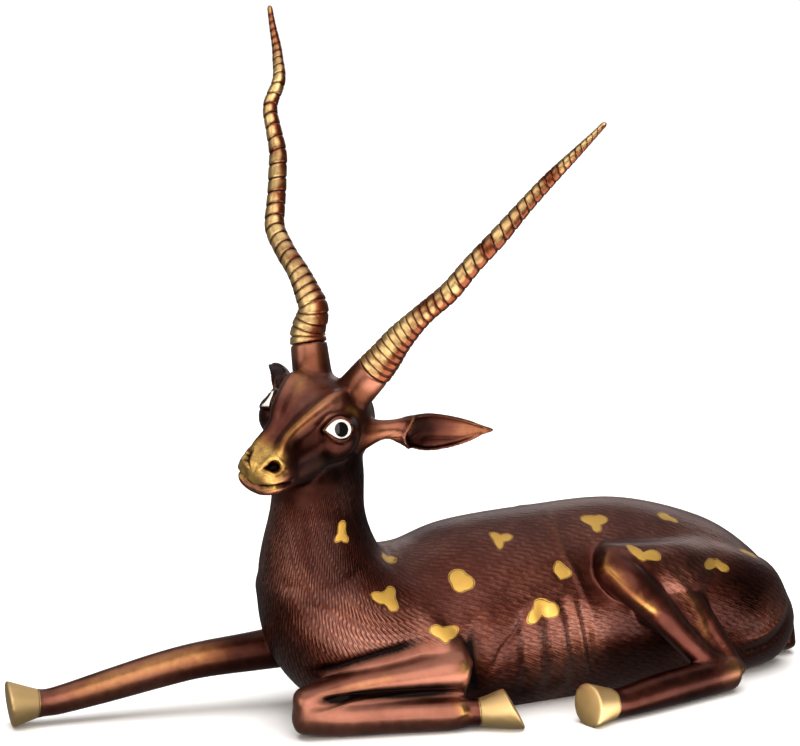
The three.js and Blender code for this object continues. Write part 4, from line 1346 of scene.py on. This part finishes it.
def horn_grid(hand):
    """Rings on the path: seat + way length s + swing. The radius is the horn's, less the groove times a row
    of narrow bells, one at every ring's foot, which lean round the horn by a share of a ring. Also returns
    the bells of the grooves, the painted shade of one side with the stained stretches from 0 to 1, and wider
    bells at the rings' feet."""
    way = horn_way(hand)
    seat = STUB_ROOT * [1, hand, 1] + way * (STUB_LENGTH + HORN_SEAT_GAP)
    out = unit(np.array([0, hand, 0]) - way * way[1] * hand)
    fore = np.cross(out, way) * hand
    s = np.linspace(0, 1, HORN_RINGS * RING_ROWS + 1)
    settled = smooth_step(s, 0, HORN_SETTLES)
    radii, swing_out, swing_fore = [
        spline_at(row, s * (len(row) - 1)) for row in (HORN_RADII, SWING_OUT[hand], SWING_FORE[hand])
    ]
    swing_out, swing_fore = swing_out * settled, swing_fore * settled
    centres = seat + np.outer(HORN_LENGTH * s, way) + np.outer(swing_out, out) + np.outer(swing_fore, fore)
    facings = unit(np.gradient(centres, axis=0))
    facings[: RING_ROWS // 2] = way
    turn = np.linspace(0, 2 * np.pi, HORN_SIDES, endpoint=False)
    lean = 0.3 * np.cos(turn + hand) * settled[:, None]
    crowd = s + CROWDING / (2 * np.pi) * np.sin(2 * np.pi * s)
    phase = np.mod(HORN_RINGS * crowd[:, None] + lean, 1)
    to_foot = np.minimum(phase, 1 - phase)
    groove, foot = [np.exp(-((to_foot / reach) ** 2)) for reach in (GROOVE_REACH, FOOT_REACH)]
    radius = radii[:, None] * (1.01 - GROOVE * (groove + RING_TAPER * phase))
    rings = np.stack([radius * np.cos(turn), radius * np.sin(turn)], axis=-1)
    grid = carried_skin(centres, facings, rings, side=fore, caps=(0, HORN_TIP))
    cap = np.zeros((CAP_ROWS, HORN_SIDES))
    groove, foot = [np.concatenate([cap, bells, cap]) for bells in (groove, foot)]
    run = np.concatenate([np.zeros(CAP_ROWS), s, np.ones(CAP_ROWS)])[:, None]
    outward = unit(grid - grid.mean(axis=1, keepdims=True) + 1e-9) @ HEAD_WAY.T
    shade_and_stain = smooth_step(outward @ PAINTED_SHADE_SIDE, -0.1, 0.7)
    for at, reach, strength in STAINS[hand]:
        shade_and_stain = np.maximum(shade_and_stain, strength * np.exp(-(((run - at) / reach) ** 2)))
    return from_head(grid), groove, shade_and_stain, foot


def closed_mesh(name, grid, *fields):
    """A mesh of rings with one point at each end, and the fields' values at its points."""
    rows, sides = grid.shape[:2]
    ends = [grid[0].mean(0, keepdims=True), grid[-1].mean(0, keepdims=True)]
    body = grid[1:-1].reshape(-1, 3)
    count = len(body)
    ring = np.arange(sides)
    ahead = np.roll(ring, -1)
    first = np.stack([np.full(sides, count), ahead, ring], axis=1)
    last_ring = count - sides
    last = np.stack([np.full(sides, count + 1), last_ring + ring, last_ring + ahead], axis=1)
    mesh = put_mesh(name, np.concatenate([body] + ends), ring_faces(rows - 2, sides), first, last)
    values = [np.concatenate([f[1:-1].ravel(), [f[0, 0], f[-1, 0]]]) for f in fields]
    return mesh, values


horn_meshes = {}
for hand, name in ((-1, "left_horn"), (1, "right_horn")):
    grid, *fields = horn_grid(hand)
    mesh, values = closed_mesh(name, grid, *fields)
    store(mesh, "rings", values)
    horn_meshes[name] = mesh
    print(name, len(mesh.polygons), "faces")

# %% [markdown]
# Horn brass: the rings were rubbed bright and the dark patina was left in the grooves. Round the feet of
# the rings and in a few stretches it is still red, and the lower side towards the rear is painted red brown
# as shade. So the colour follows the groove, the painted shade with the stains, and the foot stored on the
# mesh, with a soft noise to break their edges, and fine grit dulls it.

# %% Horn brass
HORN_GOLD = colour("#f4d08e")
HORN_RED = colour("#86421f")
HORN_DARK = colour("#220e08")
HORN_CLOUD = 26  # mm, the clouds of red
HORN_GRIT = 4  # mm

horn_brass, tree = new_material("ringed_horn_brass")
place = add(tree, "ShaderNodeTexCoord").outputs["Object"]
clouds = add(tree, "ShaderNodeTexNoise", {"Vector": place, "Scale": 1000 / HORN_CLOUD, "Detail": 3.0})
grit = add(tree, "ShaderNodeTexNoise", {"Vector": place, "Scale": 1000 / HORN_GRIT, "Detail": 3.0})
stored = add(tree, "ShaderNodeAttribute", attribute_name="rings").outputs["Vector"]
made = {"cloud": clouds.outputs[0], "grit": grit.outputs[0]}
made.update(zip(("groove", "shade_and_stain", "foot"), add(tree, "ShaderNodeSeparateXYZ", {0: stored}).outputs))
follow(tree, made, [
    ("red foot", "MULTIPLY", "foot", 0.22),
    ("red foot", "ADD", "red foot", "cloud"),
    ("red", "MULTIPLY", "shade_and_stain", 0.45),
    ("red", "ADD", "red", "red foot"),
    ("red", "range", "red", 0.55, 0.9),
    ("horn", "mix", "red", HORN_GOLD, HORN_RED),
    ("spoiled", "range", "grit", 0.55, 0.8, 0.0, 0.35),
    ("horn", "mix", "spoiled", "horn", HORN_RED),
    ("dark", "range", "groove", 0.4, 0.85),
    ("horn", "mix", "dark", "horn", HORN_DARK),
    ("gloss", "range", "grit", 0.3, 0.7, 0.32, 0.46),
])
bump = add(tree, "ShaderNodeBump", {"Strength": 0.4, "Distance": 0.3 * METRE, "Height": made["grit"]})
shader = add(tree, "ShaderNodeBsdfPrincipled", {
    "Base Color": made["horn"], "Metallic": 1.0, "Roughness": made["gloss"], "Normal": bump.outputs[0],
    "Coat Weight": 0.4, "Coat Roughness": 0.2,
})
add(tree, "ShaderNodeOutputMaterial", {0: shader.outputs[0]})
for name, mesh in horn_meshes.items():
    piece(mesh, name + "_casting", horn_brass, name)
print("horns in place")

# %% [markdown]
# The eyes are white enamel with a black pupil, fired into the sockets. Each is a shallow dome just under
# the lids, a patch of a sphere on a grid of two angles, closed at the back. Enamel is a glass, so it is
# smooth and mirrors the lights sharply. The pupil is drawn in the material from the dome's own coordinates
# in millimetres.

# %% Enamel eyes
DOME_WIDE, DOME_HIGH = 13.8, 9.8  # half sizes of the patch, a little more than the opening
DOME_ROWS, DOME_SIDES = 48, 96
DOME_MIDDLE = -0.75  # mm back from the middle of the eye, so a little ahead of it
DOME_TUCK = 2.5  # mm that the dome's edge goes in under the lids
OUTSIDE = 99  # stands for a place off the drawing, at the back of the dome


def eye_dome(side):
    """Oval patch of a sphere: at the share b from its middle and the angle a round it, u is b cos(a) of the
    half width back, v is b sin(a) of the half height up, and the sphere falls away by
    R - sqrt(R^2 - u^2 - v^2). Its edge is tucked in under the lids."""
    b = np.linspace(0, 1, DOME_ROWS)[:, None]
    a = np.linspace(0, 2 * np.pi, DOME_SIDES, endpoint=False)
    u, v = DOME_WIDE * b * np.cos(a) + DOME_MIDDLE, DOME_HIGH * b * np.sin(a)
    w = np.sqrt(EYE_BALL**2 - u**2 - v**2) - EYE_BALL - DOME_TUCK * smooth_step(-almond(u, v), 0.4, 2.4)
    grid = EYE_AT + u[..., None] * EYE_BACK + v[..., None] * EYE_UP + w[..., None] * EYE_OUT
    grid = np.concatenate([grid, np.tile(grid[-1].mean(0), (1, DOME_SIDES, 1))]) * side
    u, v = [np.concatenate([part, np.full((1, DOME_SIDES), OUTSIDE)]) for part in (u, v)]
    return (grid, u, v) if side[1] > 0 else (grid[:, ::-1], u[:, ::-1], v[:, ::-1])


ENAMEL_WHITES = colour("#cdc8c0"), colour("#e2ded8")
ENAMEL_BLACK = colour("#060505")
ENAMEL_GRAIN = 0.6  # the noise's waves in a millimetre of the dome
PUPIL_BACK, PUPIL_UP, PUPIL_ROUND = 0.9, -0.2, 7.2  # mm, the pupil's middle and radius
enamel, tree = new_material("fired_eye_enamel")
stored = add(tree, "ShaderNodeAttribute", attribute_name="dome").outputs["Vector"]
made = dict(zip(("back", "up"), add(tree, "ShaderNodeSeparateXYZ", {0: stored}).outputs))
grain = add(tree, "ShaderNodeTexNoise", {"Vector": stored, "Scale": ENAMEL_GRAIN, "Detail": 3.0})
made["grain"] = grain.outputs[0]
for way, middle in (("back", PUPIL_BACK), ("up", PUPIL_UP)):
    follow(tree, made, [
        (way, "SUBTRACT", way, middle),
        (way, "DIVIDE", way, PUPIL_ROUND),
        (way, "MULTIPLY", way, way),
    ])
follow(tree, made, [
    ("off", "ADD", "back", "up"),
    ("off", "SQRT", "off"),
    ("pupil", "range", "off", 1.04, 0.94),
    ("white", "mix", "grain", *ENAMEL_WHITES),
    ("eye", "mix", "pupil", "white", ENAMEL_BLACK),
])
shader = add(tree, "ShaderNodeBsdfPrincipled", {
    "Base Color": made["eye"], "Metallic": 0.0, "Roughness": 0.1, "IOR": 1.45,
})
add(tree, "ShaderNodeOutputMaterial", {0: shader.outputs[0]})
for side, name in zip(sided, ("left_eye_enamel", "right_eye_enamel")):
    grid, u, v = eye_dome(side)
    mesh, values = closed_mesh(name, from_head(grid), u, v)
    store(mesh, "dome", [values[0], values[1], 0 * values[0]])
    piece(mesh, name, enamel, "animal")
print("eyes in place")

# %% [markdown]
# The statue lies on a plain floor of painted board, pale, dull and even, which runs out past the picture so
# that no edge shows.

# %% Studio floor
FLOOR_REACH = 60  # metres
floor_material, tree = new_material("pale_painted_floor")
place = add(tree, "ShaderNodeTexCoord").outputs["Object"]
speck = add(tree, "ShaderNodeTexNoise", {"Vector": place, "Scale": 3.0, "Detail": 2.0})
made = {"speck": speck.outputs[0]}
follow(tree, made, [("floor", "mix", "speck", colour("#f4f3f1"), colour("#f8f7f5"))])
shader = add(tree, "ShaderNodeBsdfPrincipled", {"Base Color": made["floor"], "Roughness": 0.7})
add(tree, "ShaderNodeOutputMaterial", {0: shader.outputs[0]})
edge = FLOOR_REACH / 2 / METRE
square = np.array([[-edge, -edge, 0], [edge, -edge, 0], [edge, edge, 0], [-edge, edge, 0]])
floor_mesh = put_mesh("floor", square, np.array([[0, 1, 2, 3]]))
floor_mesh.materials.append(floor_material)
floor = bpy.data.objects.new("floor", floor_mesh)
bpy.context.scene.collection.objects.link(floor)
floor.visible_glossy = False  # mirrored in the brass, it would wash out the dark lower faces
print("floor", FLOOR_REACH, "m wide")

# %% [markdown]
# Metal shows its surroundings more than its own colour, so the lights are large soft panels: a window in
# front, one panel at the left of the picture for the face, one overhead, one behind to draw the outline of
# the back, and a low board that throws light up in front of the chest. A wide sun stands for the ceiling
# and brightens the floor, and a dim pale sky fills the rest.

# %% Lights
# Name, place, target, width and height in metres, radiance, tint
LIGHTS = [
    ("window", (-1.3, -4.2, 2.2), (-0.1, 0, 0.25), 6.0, 4.2, 2.2, "#fff6ee"),
    ("left panel", (-4.0, -0.6, 1.5), (0, 0, 0.3), 3.0, 2.6, 1.6, "#fff6ee"),
    ("top panel", (0.2, -0.2, 3.2), (0, 0, 0), 4.5, 4.5, 0.8, "#fbf6f4"),
    ("back panel", (2.0, 2.1, 1.35), (0, 0, 0.2), 3.4, 1.3, 0.8, "#fbf6f4"),
    ("bounce board", (-0.3, -0.4, 0.002), (-0.3, -0.4, 1), 1.3, 0.48, 3.0, "#fff6ee"),
]
CEILING_POWER = 3.6
CEILING_SPREAD = np.radians(60)
SKY_STRENGTH = 0.14
LAMP_UP = (0, 0.001, 1)  # leans a little, so that the board that faces straight up has a right and a left
for name, at, target, wide, high, radiance, tint in LIGHTS:
    light = bpy.data.lights.new(name, "AREA")
    light.shape = "RECTANGLE"
    light.size = wide
    light.size_y = high
    light.energy = radiance * np.pi * wide * high
    light.color = colour(tint)[:3]
    lamp = bpy.data.objects.new(name, light)
    lamp.matrix_world = looking_matrix(at, unit(np.array(at) - np.array(target)), LAMP_UP)
    lamp.visible_camera = False
    bpy.context.scene.collection.objects.link(lamp)

ceiling = bpy.data.lights.new("ceiling", "SUN")
ceiling.energy = CEILING_POWER
ceiling.angle = CEILING_SPREAD
overhead = bpy.data.objects.new("ceiling", ceiling)
overhead.visible_glossy = False  # a ceiling isn't a disc, so the brass doesn't mirror this one
bpy.context.scene.collection.objects.link(overhead)

world = bpy.data.worlds.new("studio")
world.use_nodes = True
sky = world.node_tree.nodes["Background"]
sky.inputs["Color"].default_value = colour("#f2f1f0")
sky.inputs["Strength"].default_value = SKY_STRENGTH
bpy.context.scene.world = world
bpy.context.scene.view_settings.view_transform = "Standard"
print("studio:", len(LIGHTS), "lights")
